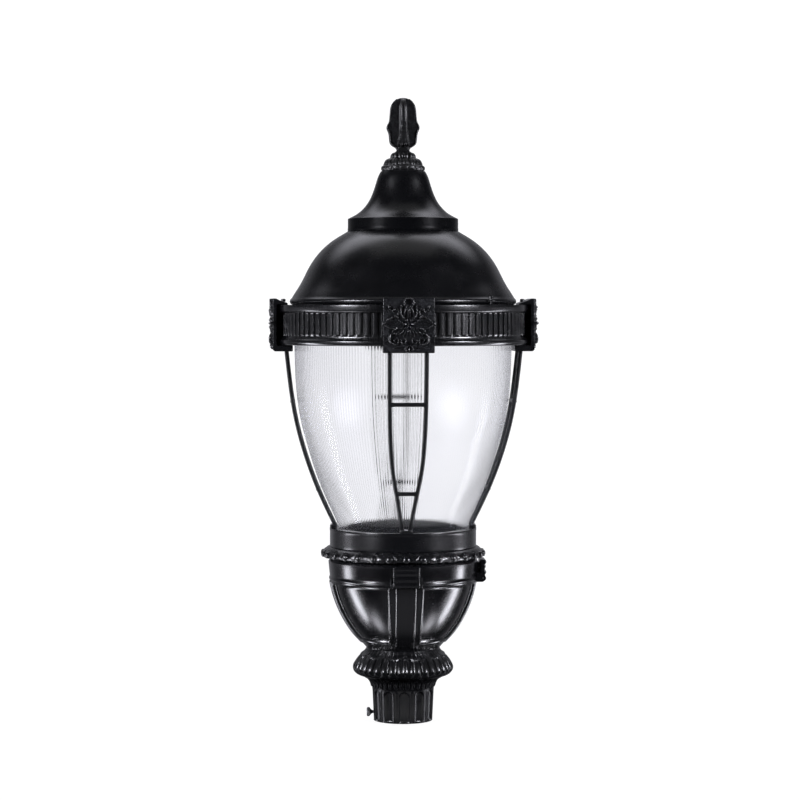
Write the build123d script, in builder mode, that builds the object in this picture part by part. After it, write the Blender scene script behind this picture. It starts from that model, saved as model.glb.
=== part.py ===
from build123d import *
import math
import os

os.makedirs("parts", exist_ok=True)

# ---------------------------------------------------------------------------
# Post-top street lantern. Millimetres, +Z up. The origin is the centre of the
# fitter's bottom face, where it meets the shoulder of the post.
# Front is -Y and right is +X. Azimuths are in degrees, counterclockwise from
# +X seen from above; a "lateral" offset is positive counterclockwise.
# ---------------------------------------------------------------------------

# driving dimensions
TENON_R = 38.5            # bore for a 76.2 mm post-top tenon
TENON_DEPTH = 90.0
FITTER_TOP = 146.0
HOUSING_RIM_Z = 326.0
HOUSING_WALL = 11.0
PANEL_DEPTH = 5.0
STRAP_HALF = 32.0
COLLAR_Z0, COLLAR_Z1, COLLAR_R = 350.0, 387.0, 147.0
GLASS_T = 4.0
ROD_R = 4.25              # ladder-rib rods
BAR_Z = (643.0, 468.0)    # crossbars of the ladder ribs
BAND_R, FRIEZE_R = 250.0, 244.0
BAND_Z0, BAND_Z1 = 753.0, 832.0
HEM_R, HEM_T, HEM_Z = 219.0, 7.0, 839.05
DOME_T = 2.5
DOME_TOP = 978.0
CUPOLA_R, CUPOLA_TOP = 110.5, 1098.0
CUPOLA_T = 3.0
LOCK_Z = 16.0             # axis height of the set screws

# hinges and latches
TILT_X, TILT_Z = -152.0, 336.0          # lantern tilt hinge, axis along Y
TILT_PIN_R = 2.5
HOOD_HINGE_R, HOOD_HINGE_Z, HOOD_HINGE_A = 236.0, 838.0, 135.0
LATCH_R, LATCH_Z = 159.0, 287.0
PIN_R = 2.0                             # latch and hood hinge pins

# clearances
RUN = 0.05                # radial, around a pin that turns
FIT = 0.02                # radial, around a fixed pin
GAP = 0.05                # axial, between stacked pieces

# pitch radii of the screw circles
HOUSING_BOLT_R = 56.0
TRAY_SCREW_R = 98.0
COVER_SCREW_R = 112.8
RIB_FOOT_R = 141.5
ROSETTE_SCREW_R = 239.0
SINK_SCREW_R = 80.0

# places of the hinge and hood screws
LEAF_SCREW_Z = 309.0
LEAF_SCREW_LATERALS = (-9.0, 9.0)
UPPER_SCREW_X, UPPER_SCREW_Y = -146.2, 17.0
HOOD_LEAF_SCREW_R = 244.5
HOOD_LEAF_LATERALS = (-13.0, 13.0)
HOOD_SCREW_R, HOOD_SCREW_A = 231.5, -45.0

# cable conduit
CONDUIT_R = 3.0
CONDUIT_HOLE_R = 3.3
CONDUIT_TOP_R, CONDUIT_TOP_Z = 240.3, 757.0

FRONT, RIGHT, REAR, LEFT = -90.0, 0.0, 90.0, 180.0
SIDES = (("front", FRONT), ("right", RIGHT), ("rear", REAR), ("left", LEFT))
LATCH_SIDES = (FRONT, RIGHT)
DIAGONAL = 45.0           # first azimuth of the screw circles set between the sides

# Outer profiles, rows of (radius, height)
FITTER_OUT = [(59.0, 0), (60.4, 30), (62.0, 60), (62.2, 66), (63.0, 72), (64.6, 78),
              (67.6, 84), (73.0, 89), (88.0, 95), (96.5, 100), (98.3, 104), (98.0, 109),
              (96.6, 114), (94.0, 120), (89.8, 126), (82.8, 132), (76.2, 138), (72.6, 144),
              (72.4, FITTER_TOP)]
HOUSING_OUT = [(73.2, 146.1), (75.8, 150), (81.2, 156), (86.8, 162), (93.2, 168), (98.8, 174),
               (103.4, 180), (107.8, 186), (111.4, 192), (115.2, 198), (118.8, 204),
               (122.0, 210), (124.8, 216), (128.0, 222), (130.4, 228), (133.0, 234),
               (135.0, 240), (137.6, 246), (139.6, 252), (141.2, 258), (143.0, 264),
               (144.4, 270), (145.6, 276), (146.4, 283)]
GLOBE_OUT = [(126.0, 378), (127.5, 386), (133.0, 400), (142.0, 420), (151.5, 440),
             (164.5, 470), (175.5, 500), (185.0, 530), (193.0, 558), (199.5, 580),
             (206.5, 610), (211.0, 640), (214.0, 670), (215.5, 700), (216.5, 736),
             (217.0, 760), (217.0, 815)]
DOME_OUT = [(222.4, 845.0), (219.0, 852), (214.2, 858), (210.4, 864), (206.4, 870),
            (203.0, 876), (197.0, 888), (191.6, 900), (185.2, 912), (177.0, 924),
            (167.6, 936), (156.2, 948), (141.0, 960), (131.2, 966), (120.8, 972),
            (111.0, DOME_TOP)]
CUPOLA_OUT = [(CUPOLA_R, 1002), (102.0, 1008), (89.4, 1014), (82.8, 1020), (77.0, 1026),
              (72.2, 1032), (68.2, 1038), (64.8, 1044), (60.0, 1056), (56.2, 1068),
              (52.2, 1080), (48.4, 1090), (44.0, CUPOLA_TOP)]
FINIAL_HALF = [(12.8, 1140), (15.2, 1146), (25.2, 1152), (27.6, 1158), (28.4, 1170),
               (29.8, 1176), (32.8, 1182), (32.8, 1188), (28.8, 1194), (27.2, 1200),
               (26.6, 1206), (25.8, 1218), (25.6, 1224), (23.0, 1230), (18.0, 1236),
               (8.0, 1242), (0.0, 1244)]

# Ladder rib rods, top to bottom, rows of (radius, height, half spacing of the rods)
RIB_STATIONS = [
    (232.5, 748, 35.5), (232.5, 740, 35.5), (232.4, 732, 35.5), (231.8, 720, 35.5),
    (230.0, 702, 35.5), (227.8, 678, 35.5), (225.4, 660, 35.5), (222.6, 643, 35.4),
    (216.4, 612, 34.8), (207.4, 576, 33.6), (197.2, 540, 31.6), (184.8, 504, 27.8),
    (171.2, 468, 20.5), (159.0, 441, 15.6), (146.4, 414, 11.4), (137.4, 396, 8.6),
    (134.8, 391, 8.0)]
ROD_TOP_R, ROD_TOP_Z, ROD_TOP_HALF = RIB_STATIONS[0]

# Cable conduit, top to bottom, rows of (radius, lateral, height)
CONDUIT = [
    (CONDUIT_TOP_R, 0, CONDUIT_TOP_Z), (240.3, 0, 740), (240.2, 0, 728), (239.6, 0, 716),
    (237.8, 0, 700), (235.6, 0, 678), (233.2, 0, 660), (230.8, 0, 643), (224.8, 0, 612),
    (216.0, 0, 576), (206.0, 0, 540), (194.0, 2, 504), (181.0, 9, 468), (169.6, 16, 441),
    (156.6, 21, 414), (146.0, 23, 396), (141.8, 23, 388.6)]

STAND = (Align.CENTER, Align.CENTER, Align.MIN)    # stands on its location
HANG = (Align.CENTER, Align.CENTER, Align.MAX)     # hangs below its location


# ---------------------------------------------------------------------------
# Helpers
# ---------------------------------------------------------------------------
def inset(points, distance):
    """Points of an upward profile moved towards the axis side, square to the profile."""
    moved = []
    for i, (radius, z) in enumerate(points):
        radius_before, z_before = points[max(i - 1, 0)]
        radius_after, z_after = points[min(i + 1, len(points) - 1)]
        run, rise = radius_after - radius_before, z_after - z_before
        length = math.hypot(run, rise)
        moved.append((radius - distance * rise / length, z + distance * run / length))
    return moved


def point_at(azimuth, radius, lateral, z):
    """Point at a radius, sideways offset and height on a given azimuth."""
    angle = math.radians(azimuth)
    return (radius * math.cos(angle) - lateral * math.sin(angle),
            radius * math.sin(angle) + lateral * math.cos(angle), z)


def outward(azimuth):
    """Horizontal unit vector pointing away from the axis."""
    return point_at(azimuth, 1, 0, 0)


def side_plane(azimuth, lateral=0.0):
    """Radial plane at an azimuth: local x is outward, local y is up."""
    angle = math.radians(azimuth)
    return Plane(origin=point_at(azimuth, 0, lateral, 0), x_dir=outward(azimuth),
                 z_dir=(math.sin(angle), -math.cos(angle), 0))


def up_plane(azimuth, radius, lateral, z):
    """Horizontal plane at a point, local x outward."""
    return Plane(origin=point_at(azimuth, radius, lateral, z), x_dir=outward(azimuth),
                 z_dir=(0, 0, 1))


def facing_plane(azimuth, radius, z):
    """Upright plane facing outward, local x counterclockwise."""
    return Plane(origin=point_at(azimuth, radius, 0, z), x_dir=point_at(azimuth, 0, 1, 0),
                 z_dir=outward(azimuth))


def leaf_screw_plane(radius, lateral):
    """Plane facing left on the axis of a screw of the lower hinge leaf."""
    return Plane(origin=point_at(LEFT, radius, lateral, LEAF_SCREW_Z), z_dir=(-1, 0, 0))


def save(builder, name):
    builder.part.label = name
    export_step(builder.part, "parts/" + name + ".step")


def save_turned(name, profile):
    """A piece that is one (radius, height) profile turned about the lantern axis."""
    with BuildPart() as turned:
        with BuildSketch(Plane.XZ):
            with BuildLine():
                Polyline(profile, close=True)
            make_face()
        revolve(axis=Axis.Z)
    save(turned, name)


def save_pins(name, planes, centre, radius, half_length):
    """Plain pins, one square to each plane and centred on it."""
    with BuildPart() as pins:
        for plane in planes:
            with BuildSketch(plane):
                with Locations(centre):
                    Circle(radius)
            extrude(amount=half_length, both=True)
    save(pins, name)


def cap_screw(z, shank_r, shank_length, head_r, head_height):
    """Upright screw at the current locations, its shank starting at z."""
    with Locations((0, 0, z)):
        Cylinder(shank_r, shank_length, align=STAND)
    with Locations((0, 0, z + shank_length)):
        Cylinder(head_r, head_height, align=STAND)


def save_screw_circle(name, pitch_r, start_azimuth, **screw):
    """Four cap screws on a pitch circle."""
    with BuildPart() as screws:
        with PolarLocations(pitch_r, 4, start_angle=start_azimuth):
            cap_screw(**screw)
    save(screws, name)


# ---------------------------------------------------------------------------
# Fitter: fluted shaft, leaf neck and lower gadroon ring, one casting
# ---------------------------------------------------------------------------
LOBE_COUNT, LOBE_HALF = 36, 3.0
FLUTE_COUNT, FLUTE_R, FLUTE_PITCH_R, FLUTE_HEIGHT = 12, 16, 74.5, 55
CABLE_R = 22              # cable passage
RECESS_R, RECESS_Z = 44, 102

with BuildPart() as fitter:
    with BuildSketch(Plane.XZ):
        with BuildLine():
            Polyline([(0, 0)] + FITTER_OUT + [(0, FITTER_TOP)], close=True)
        make_face()
    revolve(axis=Axis.Z)
    # Lobes of the gadroon ring. Their outline also stays pending in this part,
    # so the tenon bore's extrude takes it along: keep these steps in this order.
    with BuildSketch(Plane.XZ) as lobe_face:
        with BuildLine():
            Polyline((88.0, 92), (94.0, 95), (97.6, 99), (99.8, 103), (99.8, 109), (98.4, 114),
                     (95.8, 120), (91.6, 126), (86.0, 131), (80.0, 131), (80.0, 92), close=True)
        make_face()
    lobe = extrude(lobe_face.sketch, amount=LOBE_HALF, both=True, mode=Mode.PRIVATE)
    with PolarLocations(0, LOBE_COUNT, start_angle=5):
        add(lobe)
    # concave flutes with round heads
    with PolarLocations(FLUTE_PITCH_R, FLUTE_COUNT):
        Cylinder(FLUTE_R, FLUTE_HEIGHT, align=STAND, mode=Mode.SUBTRACT)
    with Locations((0, 0, FLUTE_HEIGHT)):
        with PolarLocations(FLUTE_PITCH_R, FLUTE_COUNT):
            Sphere(FLUTE_R, mode=Mode.SUBTRACT)
    # tenon bore, cable passage and bolting recess
    with BuildSketch(Plane.XY):
        Circle(TENON_R)
    extrude(amount=TENON_DEPTH, mode=Mode.SUBTRACT)
    with BuildSketch(Plane.XY.offset(TENON_DEPTH - 1)):
        Circle(CABLE_R)
    extrude(amount=30, mode=Mode.SUBTRACT)
    with BuildSketch(Plane.XY.offset(RECESS_Z)):
        Circle(RECESS_R)
    extrude(amount=60, mode=Mode.SUBTRACT)
    # tapped holes for the housing bolts
    with Locations(Plane.XY.offset(FITTER_TOP)):
        with PolarLocations(HOUSING_BOLT_R, 4, start_angle=DIAGONAL):
            Hole(4.05, depth=24)
    # tapped holes of the two set screws
    for azimuth in (LEFT, REAR):
        with BuildSketch(Plane(origin=point_at(azimuth, 30, 0, LOCK_Z),
                               z_dir=outward(azimuth))):
            Circle(3.06)
        extrude(amount=40, mode=Mode.SUBTRACT)
save(fitter, "fitter")

# Set screw half profile, rows of (distance from the lantern axis, screw radius)
LOCK_SCREW = [(38.7, 0), (38.7, 2.2), (40.0, 3.0), (62.0, 3.0), (66.5, 7.6), (67.4, 9.2),
              (71.2, 9.2), (72.8, 7.8), (72.8, 0)]

for name, azimuth in (("lock_screw_left", LEFT), ("lock_screw_rear", REAR)):
    with BuildPart() as lock_screw:
        with BuildSketch(side_plane(azimuth)):
            with BuildLine():
                Polyline([(along, LOCK_Z + radius) for along, radius in LOCK_SCREW], close=True)
            make_face()
        revolve(axis=Axis(point_at(azimuth, 0, 0, LOCK_Z), outward(azimuth)))
        # hexagon socket in the head
        with BuildSketch(Plane(origin=point_at(azimuth, LOCK_SCREW[-1][0], 0, LOCK_Z),
                               z_dir=outward(azimuth))):
            RegularPolygon(3.2, 6)
        extrude(amount=-4, mode=Mode.SUBTRACT)
    save(lock_screw, name)

# ---------------------------------------------------------------------------
# Gear housing: bulging bowl with four straps and recessed panels
# ---------------------------------------------------------------------------
PANEL_OUT = [point for point in HOUSING_OUT if 166 < point[1] < 274]
PANEL_MID_Z = 220
STRAP_RAISE, STRAP_RAISE_WIDTH = 2.2, 38
BLOCK = 200               # side of the blocks that part the bowl into quadrants

with BuildPart() as panel_cut:
    with BuildSketch(Plane.XZ):
        with BuildLine():
            Polyline([(radius + 6, z) for radius, z in PANEL_OUT]
                     + list(reversed(inset(PANEL_OUT, PANEL_DEPTH))), close=True)
        make_face()
    revolve(axis=Axis.Z)
    block_offset = STRAP_HALF + BLOCK / 2
    quadrant_boxes = [Pos(x_sign * block_offset, y_sign * block_offset, PANEL_MID_Z)
                      * Box(BLOCK, BLOCK, BLOCK, mode=Mode.PRIVATE)
                      for x_sign in (-1, 1) for y_sign in (-1, 1)]
    add(quadrant_boxes, mode=Mode.INTERSECT)

with BuildPart() as strap_raise:
    with BuildSketch(Plane.XZ):
        with BuildLine():
            Polyline(inset(PANEL_OUT, -STRAP_RAISE)
                     + [(radius - 3, z) for radius, z in reversed(PANEL_OUT)], close=True)
        make_face()
    revolve(axis=Axis.Z)
    cross_boxes = [
        Pos(0, 0, PANEL_MID_Z) * Box(400, STRAP_RAISE_WIDTH, BLOCK, mode=Mode.PRIVATE),
        Pos(0, 0, PANEL_MID_Z) * Box(STRAP_RAISE_WIDTH, 400, BLOCK, mode=Mode.PRIVATE)]
    add(cross_boxes, mode=Mode.INTERSECT)

with BuildPart() as gear_housing:
    with BuildSketch(Plane.XZ):
        with BuildLine():
            Polyline([(0, HOUSING_OUT[0][1])] + HOUSING_OUT
                     + [(149.0, 285), (149.0, 288.5), (146.8, 290.5), (146.8, 294),
                        (148.0, 306), (149.4, 318), (149.4, 320.5), (145.5, HOUSING_RIM_Z),
                        (0, HOUSING_RIM_Z)], close=True)
        make_face()
    revolve(axis=Axis.Z)
    add(panel_cut.part, mode=Mode.SUBTRACT)
    add(strap_raise.part)
    # hollow inside
    with BuildSketch(Plane.XZ):
        with BuildLine():
            inner = inset([point for point in HOUSING_OUT if point[1] > 158], HOUSING_WALL)
            inner = [point for point in inner if 158 < point[1] < 280]
            Polyline([(0, 154), (66, 154)] + inner
                     + [(137.6, 292), (139.0, 300), (139.0, 340), (0, 340)], close=True)
        make_face()
    revolve(axis=Axis.Z, mode=Mode.SUBTRACT)
    # four lugs that carry the driver tray
    with Locations((0, 0, 206.5)):
        with PolarLocations(101.5, 4, start_angle=DIAGONAL):
            Box(19, 14, 7)
    with Locations((0, 0, 210)):
        with PolarLocations(TRAY_SCREW_R, 4, start_angle=DIAGONAL):
            Cylinder(2.05, 20, mode=Mode.SUBTRACT)
    # cable hole and bolt holes in the floor
    with Locations((0, 0, 150)):
        Cylinder(CABLE_R, 12, mode=Mode.SUBTRACT)
        with PolarLocations(HOUSING_BOLT_R, 4, start_angle=DIAGONAL):
            Cylinder(4.4, 12, mode=Mode.SUBTRACT)
    # pads that the closed latches lie against
    for azimuth in LATCH_SIDES:
        with BuildSketch(side_plane(azimuth)):
            with BuildLine():
                Polyline((145.0, 294.0), (150.6, 295.4), (152.2, 297.0), (152.2, 316.0),
                         (151.2, 317.6), (148.4, 318.4), (145.0, 318.4), close=True)
            make_face()
        extrude(amount=20.0, both=True)
    # ears that hold the latch pins
    for azimuth in LATCH_SIDES:
        for lateral in (-29.0, 29.0):
            with BuildSketch(side_plane(azimuth, lateral)):
                with BuildLine():
                    Polyline((144.0, 279.5), (158.0, 279.5), (163.6, 283.0), (165.2, 287.0),
                             (163.6, 291.5), (158.0, 294.5), (145.0, 300.0), close=True)
                make_face()
            extrude(amount=2.0, both=True)
            with BuildSketch(side_plane(azimuth, lateral)):
                with Locations((LATCH_R, LATCH_Z)):
                    Circle(PIN_R + FIT)
            extrude(amount=3.0, both=True, mode=Mode.SUBTRACT)
    # screw holes of the lower hinge leaf
    for lateral in LEAF_SCREW_LATERALS:
        with BuildSketch(leaf_screw_plane(130, lateral)):
            Circle(2.05)
        extrude(amount=15, mode=Mode.SUBTRACT)
save(gear_housing, "gear_housing")

with BuildPart() as housing_bolts:
    with PolarLocations(HOUSING_BOLT_R, 4, start_angle=DIAGONAL):
        cap_screw(z=130, shank_r=4.0, shank_length=24.05, head_r=6.5, head_height=8)
    # round sockets in the heads
    with Locations((0, 0, 158.5)):
        with PolarLocations(HOUSING_BOLT_R, 4, start_angle=DIAGONAL):
            Cylinder(2.9, 8, align=STAND, mode=Mode.SUBTRACT)
save(housing_bolts, "housing_bolts")

# ---------------------------------------------------------------------------
# Control gear on its tray inside the housing
# ---------------------------------------------------------------------------
TRAY_Z = 210.05
GEAR_Z = 212.6            # underside of everything that stands on the tray
DRIVER_Y, DRIVER_HEIGHT = 28, 36
TERMINAL_Y, TERMINAL_LENGTH = -36, 64
TERMINAL_BASE_HEIGHT, TERMINAL_HEIGHT = 14, 23
SURGE_XY = (-60, -40)
SURGE_FOOT_HEIGHT = 4

with BuildPart() as driver_tray:
    with BuildSketch(Plane.XY.offset(TRAY_Z)):
        Circle(106)
        with PolarLocations(TRAY_SCREW_R, 4, start_angle=DIAGONAL):
            Circle(2.3, mode=Mode.SUBTRACT)
        with Locations((62, -30)):
            Circle(12, mode=Mode.SUBTRACT)
    extrude(amount=2.5)
save(driver_tray, "driver_tray")

save_screw_circle("driver_screws", TRAY_SCREW_R, DIAGONAL,
                  z=203.5, shank_r=2.0, shank_length=9.1, head_r=3.6, head_height=2.8)

with BuildPart() as led_driver:
    with BuildSketch(Plane.XY.offset(GEAR_Z)):
        with Locations((0, DRIVER_Y)):
            RectangleRounded(134, 62, 5)
    extrude(amount=DRIVER_HEIGHT)
    fillet(led_driver.faces().sort_by(Axis.Z)[-1].edges(), 2)
    # six grooves along the top of the case
    with BuildSketch(Plane.XY.offset(GEAR_Z + DRIVER_HEIGHT)):
        with Locations((0, DRIVER_Y)):
            with GridLocations(0, 8, 1, 6):
                Rectangle(110, 3)
    extrude(amount=-2, mode=Mode.SUBTRACT)
save(led_driver, "led_driver")

with BuildPart() as terminal_block:
    with BuildSketch(Plane.XY.offset(GEAR_Z)):
        with Locations((0, TERMINAL_Y)):
            Rectangle(TERMINAL_LENGTH, 24)
    extrude(amount=TERMINAL_BASE_HEIGHT)
    with BuildSketch(Plane.XY.offset(GEAR_Z + TERMINAL_BASE_HEIGHT)):
        with Locations((0, TERMINAL_Y)):
            Rectangle(TERMINAL_LENGTH, 12)
    extrude(amount=TERMINAL_HEIGHT - TERMINAL_BASE_HEIGHT)
    # five round wells in the top
    with BuildSketch(Plane.XY.offset(GEAR_Z + TERMINAL_HEIGHT)):
        with Locations((0, TERMINAL_Y)):
            with GridLocations(12, 0, 5, 1):
                Circle(3)
    extrude(amount=-6, mode=Mode.SUBTRACT)
save(terminal_block, "terminal_block")

with BuildPart() as surge_protector:
    with BuildSketch(Plane.XY.offset(GEAR_Z)):
        with Locations(SURGE_XY):
            Circle(17)
    extrude(amount=SURGE_FOOT_HEIGHT)
    with BuildSketch(Plane.XY.offset(GEAR_Z + SURGE_FOOT_HEIGHT)):
        with Locations(SURGE_XY):
            Circle(14)
    extrude(amount=26)
    fillet(surge_protector.faces().sort_by(Axis.Z)[-1].edges(), 3)
save(surge_protector, "surge_protector")

# ---------------------------------------------------------------------------
# Latches on the housing, front and right
# ---------------------------------------------------------------------------
for name, azimuth in (("latch_front", FRONT), ("latch_right", RIGHT)):
    with BuildPart() as latch:
        with BuildSketch(side_plane(azimuth)):
            with BuildLine():
                Polyline((152.6, 287.0), (153.4, 283.9), (155.6, 281.6), (159.0, 280.7),
                         (162.4, 281.6), (164.6, 283.9), (165.4, 287.0), (164.0, 292.0),
                         (164.0, 297.0), (165.8, 299.0), (165.8, 302.0), (164.2, 304.0),
                         (164.2, 315.0), (166.0, 317.0), (166.0, 321.0), (163.5, 323.6),
                         (155.0, 323.6), (152.6, 321.0), close=True)
            make_face()
        extrude(amount=26.5, both=True)
        with BuildSketch(side_plane(azimuth)):
            with Locations((LATCH_R, LATCH_Z)):
                Circle(PIN_R + RUN)
        extrude(amount=30, both=True, mode=Mode.SUBTRACT)
        # finger recess on the inner side
        with BuildSketch(side_plane(azimuth)):
            with Locations((153.0, 309)):
                Rectangle(10, 20)
        extrude(amount=21, both=True, mode=Mode.SUBTRACT)
    save(latch, name)

save_pins("latch_pins", [side_plane(azimuth) for azimuth in LATCH_SIDES],
          (LATCH_R, LATCH_Z), PIN_R, half_length=31.5)

# ---------------------------------------------------------------------------
# Concealed tilt hinge at the left
# ---------------------------------------------------------------------------
KNUCKLE_R = 4.5
KNUCKLE_LOW_Z = TILT_Z - KNUCKLE_R
LEAF_INNER_X = -134.2     # face of the lower leaf nearest the lantern axis
LEAF_OUTER_X = LEAF_INNER_X - 4.0
LEAF_HEAD_R = 134.1       # outer end of the lower leaf's screw heads

with BuildPart() as hinge_leaf_lower:
    with BuildSketch(Plane.XZ):
        with Locations((TILT_X, TILT_Z)):
            Circle(KNUCKLE_R)
        with BuildLine():
            Polyline((TILT_X, KNUCKLE_LOW_Z), (LEAF_INNER_X, KNUCKLE_LOW_Z),
                     (LEAF_INNER_X, 335.0), (TILT_X, 335.0), close=True)
        make_face()
    extrude(amount=11.5, both=True)
    with BuildSketch(Plane.XZ):
        with BuildLine():
            Polyline((LEAF_OUTER_X, 334.0), (LEAF_INNER_X, 334.0), (LEAF_INNER_X, 300.0),
                     (LEAF_OUTER_X, 300.0), close=True)
        make_face()
    extrude(amount=14.0, both=True)
    with BuildSketch(Plane.XZ):
        with Locations((TILT_X, TILT_Z)):
            Circle(TILT_PIN_R + FIT)
    extrude(amount=20, both=True, mode=Mode.SUBTRACT)
    for lateral in LEAF_SCREW_LATERALS:
        with BuildSketch(leaf_screw_plane(130, lateral)):
            Circle(2.2)
        extrude(amount=15, mode=Mode.SUBTRACT)
save(hinge_leaf_lower, "hinge_leaf_lower")

with BuildPart() as hinge_screws:
    for lateral in LEAF_SCREW_LATERALS:
        with BuildSketch(leaf_screw_plane(LEAF_HEAD_R, lateral)):
            Circle(2.0)
        extrude(amount=10)
        # head, on the inner side
        with BuildSketch(leaf_screw_plane(LEAF_HEAD_R, lateral)):
            Circle(3.6)
        extrude(amount=-2.6)
save(hinge_screws, "hinge_screws")

save_pins("tilt_hinge_pin", [Plane.XZ], (TILT_X, TILT_Z), TILT_PIN_R, half_length=21.5)

with BuildPart() as hinge_leaf_upper:
    # knuckles at both ends, with necks up to the plate
    for offset in (-16.5, 16.5):
        with BuildSketch(Plane.XZ.offset(offset)):
            with Locations((TILT_X, TILT_Z)):
                Circle(KNUCKLE_R)
            with Locations((TILT_X, 339.5)):
                Rectangle(7, 5)
        extrude(amount=4.5, both=True)
    with BuildSketch(Plane.XZ):
        with BuildLine():
            Polyline((-156.8, 341.0), (-142.5, 341.0), (-142.5, 343.9), (-156.8, 343.9),
                     close=True)
        make_face()
    extrude(amount=21.5, both=True)
    with BuildSketch(Plane.XZ):
        with Locations((TILT_X, TILT_Z)):
            Circle(TILT_PIN_R + RUN)
    extrude(amount=40, both=True, mode=Mode.SUBTRACT)
    with Locations((UPPER_SCREW_X, -UPPER_SCREW_Y, 342), (UPPER_SCREW_X, UPPER_SCREW_Y, 342)):
        Cylinder(1.7, 20, mode=Mode.SUBTRACT)
save(hinge_leaf_upper, "hinge_leaf_upper")

LEAF_SEAT_Z = 340.9       # just under the upper leaf's plate
with BuildPart() as leaf_screws:
    with Locations((UPPER_SCREW_X, -UPPER_SCREW_Y, LEAF_SEAT_Z),
                   (UPPER_SCREW_X, UPPER_SCREW_Y, LEAF_SEAT_Z)):
        Cylinder(1.5, 8.5, align=STAND)
    with Locations((-145.4, -UPPER_SCREW_Y, LEAF_SEAT_Z), (-145.4, UPPER_SCREW_Y, LEAF_SEAT_Z)):
        Cylinder(2.6, 2.0, align=HANG)
save(leaf_screws, "leaf_screws")

# ---------------------------------------------------------------------------
# Bead ring, globe collar and inner gear cover
# ---------------------------------------------------------------------------
BEAD_COUNT, BEAD_PITCH_R = 30, 152.4

with BuildPart() as bead_ring:
    with BuildSketch(Plane.XZ):
        with BuildLine():
            Polyline((141.0, 326.6), (151.0, 326.6), (158.0, 328.5), (160.5, 334.0),
                     (160.5, 342.0), (156.0, 347.5), (150.0, 349.95), (141.0, 349.95),
                     close=True)
        make_face()
    revolve(axis=Axis.Z)
    with BuildSketch(Plane.XZ) as bead_face:
        with BuildLine():
            Polyline((0, 328.0), (6.0, 328.2), (10.5, 330.0), (13.6, 333.0), (14.6, 337.0),
                     (13.6, 342.0), (10.0, 346.5), (4.0, 349.9), (0, 349.9), close=True)
        make_face()
    bead = revolve(bead_face.sketch, axis=Axis.Z, mode=Mode.PRIVATE)
    with PolarLocations(BEAD_PITCH_R, BEAD_COUNT):
        add(bead)
    # pocket for the concealed hinge, open at the bottom
    with BuildSketch(Plane.XY.offset(320)):
        with Locations((-143.6, 0)):
            Rectangle(27.2, 46)
    extrude(amount=24, mode=Mode.SUBTRACT)
    with Locations((UPPER_SCREW_X, -UPPER_SCREW_Y, 346), (UPPER_SCREW_X, UPPER_SCREW_Y, 346)):
        Cylinder(1.55, 12, mode=Mode.SUBTRACT)
save(bead_ring, "bead_ring")

with BuildPart() as globe_collar:
    with BuildSketch(Plane.XZ):
        with BuildLine():
            Polyline((96.0, 364.0), (137.0, 364.0), (137.0, COLLAR_Z0), (144.0, COLLAR_Z0),
                     (COLLAR_R, COLLAR_Z0 + 3), (COLLAR_R, COLLAR_Z1 - 5),
                     (146.0, COLLAR_Z1 - 2), (144.0, COLLAR_Z1), (128.6, COLLAR_Z1),
                     (128.6, 370.0), (96.0, 370.0), close=True)
        make_face()
    revolve(axis=Axis.Z)
    # tapped holes for the rib feet and the gear cover, cable hole at the rear
    with Locations((0, 0, 380)):
        with PolarLocations(RIB_FOOT_R, 4):
            Cylinder(2.05, 20, mode=Mode.SUBTRACT)
    with Locations((0, 0, 367)):
        with PolarLocations(COVER_SCREW_R, 4, start_angle=DIAGONAL):
            Cylinder(2.05, 20, mode=Mode.SUBTRACT)
    with Locations(point_at(REAR, 141.0, 23.0, 376)):
        Cylinder(2.4, 30, mode=Mode.SUBTRACT)
save(globe_collar, "globe_collar")

with BuildPart() as gear_cover:
    with BuildSketch(Plane.XZ):
        with BuildLine():
            Polyline((0, 396.0), (94.0, 396.0), (99.0, 394.5), (101.0, 391.0), (105.5, 384.0),
                     (108.0, 378.0), (108.4, 373.2), (117.6, 373.2), (117.6, 370.1),
                     (105.4, 370.1), (105.0, 377.0), (102.6, 382.6), (98.0, 390.0),
                     (96.0, 392.0), (92.0, 393.0), (0, 393.0), close=True)
        make_face()
    revolve(axis=Axis.Z)
    with Locations((0, 0, 371)):
        with PolarLocations(COVER_SCREW_R, 4, start_angle=DIAGONAL):
            Cylinder(2.2, 20, mode=Mode.SUBTRACT)
save(gear_cover, "gear_cover")

save_screw_circle("gear_cover_screws", COVER_SCREW_R, DIAGONAL,
                  z=366, shank_r=2.0, shank_length=7.3, head_r=3.4, head_height=2.4)

save_turned("globe_seat_gasket",
            [(118.6, 370.1), (128.2, 370.1), (128.2, 376.5), (126.8, 377.95),
             (120.0, 377.95), (118.6, 376.5)])

# ---------------------------------------------------------------------------
# Globe: one glass shell, open at both ends
# ---------------------------------------------------------------------------
GLOBE_FOOT_R, GLOBE_FOOT_Z = GLOBE_OUT[0]
GLOBE_TOP_R, GLOBE_TOP_Z = GLOBE_OUT[-1]

with BuildPart() as globe:
    with BuildSketch(Plane.XZ):
        with BuildLine():
            inner = inset(GLOBE_OUT, GLASS_T)
            # level ends
            inner[0] = (GLOBE_FOOT_R - GLASS_T, GLOBE_FOOT_Z)
            inner[-1] = (GLOBE_TOP_R - GLASS_T, GLOBE_TOP_Z)
            Spline(GLOBE_OUT)
            Line(GLOBE_OUT[-1], inner[-1])
            Spline(inner)
            Line(inner[0], GLOBE_OUT[0])
        make_face()
    revolve(axis=Axis.Z)
save(globe, "globe")

save_turned("globe_top_gasket",
            [(211.0, GLOBE_TOP_Z + GAP), (219.0, GLOBE_TOP_Z + GAP), (220.0, 817.0),
             (220.0, 823.95), (210.0, 823.95), (210.0, 817.0)])

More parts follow.
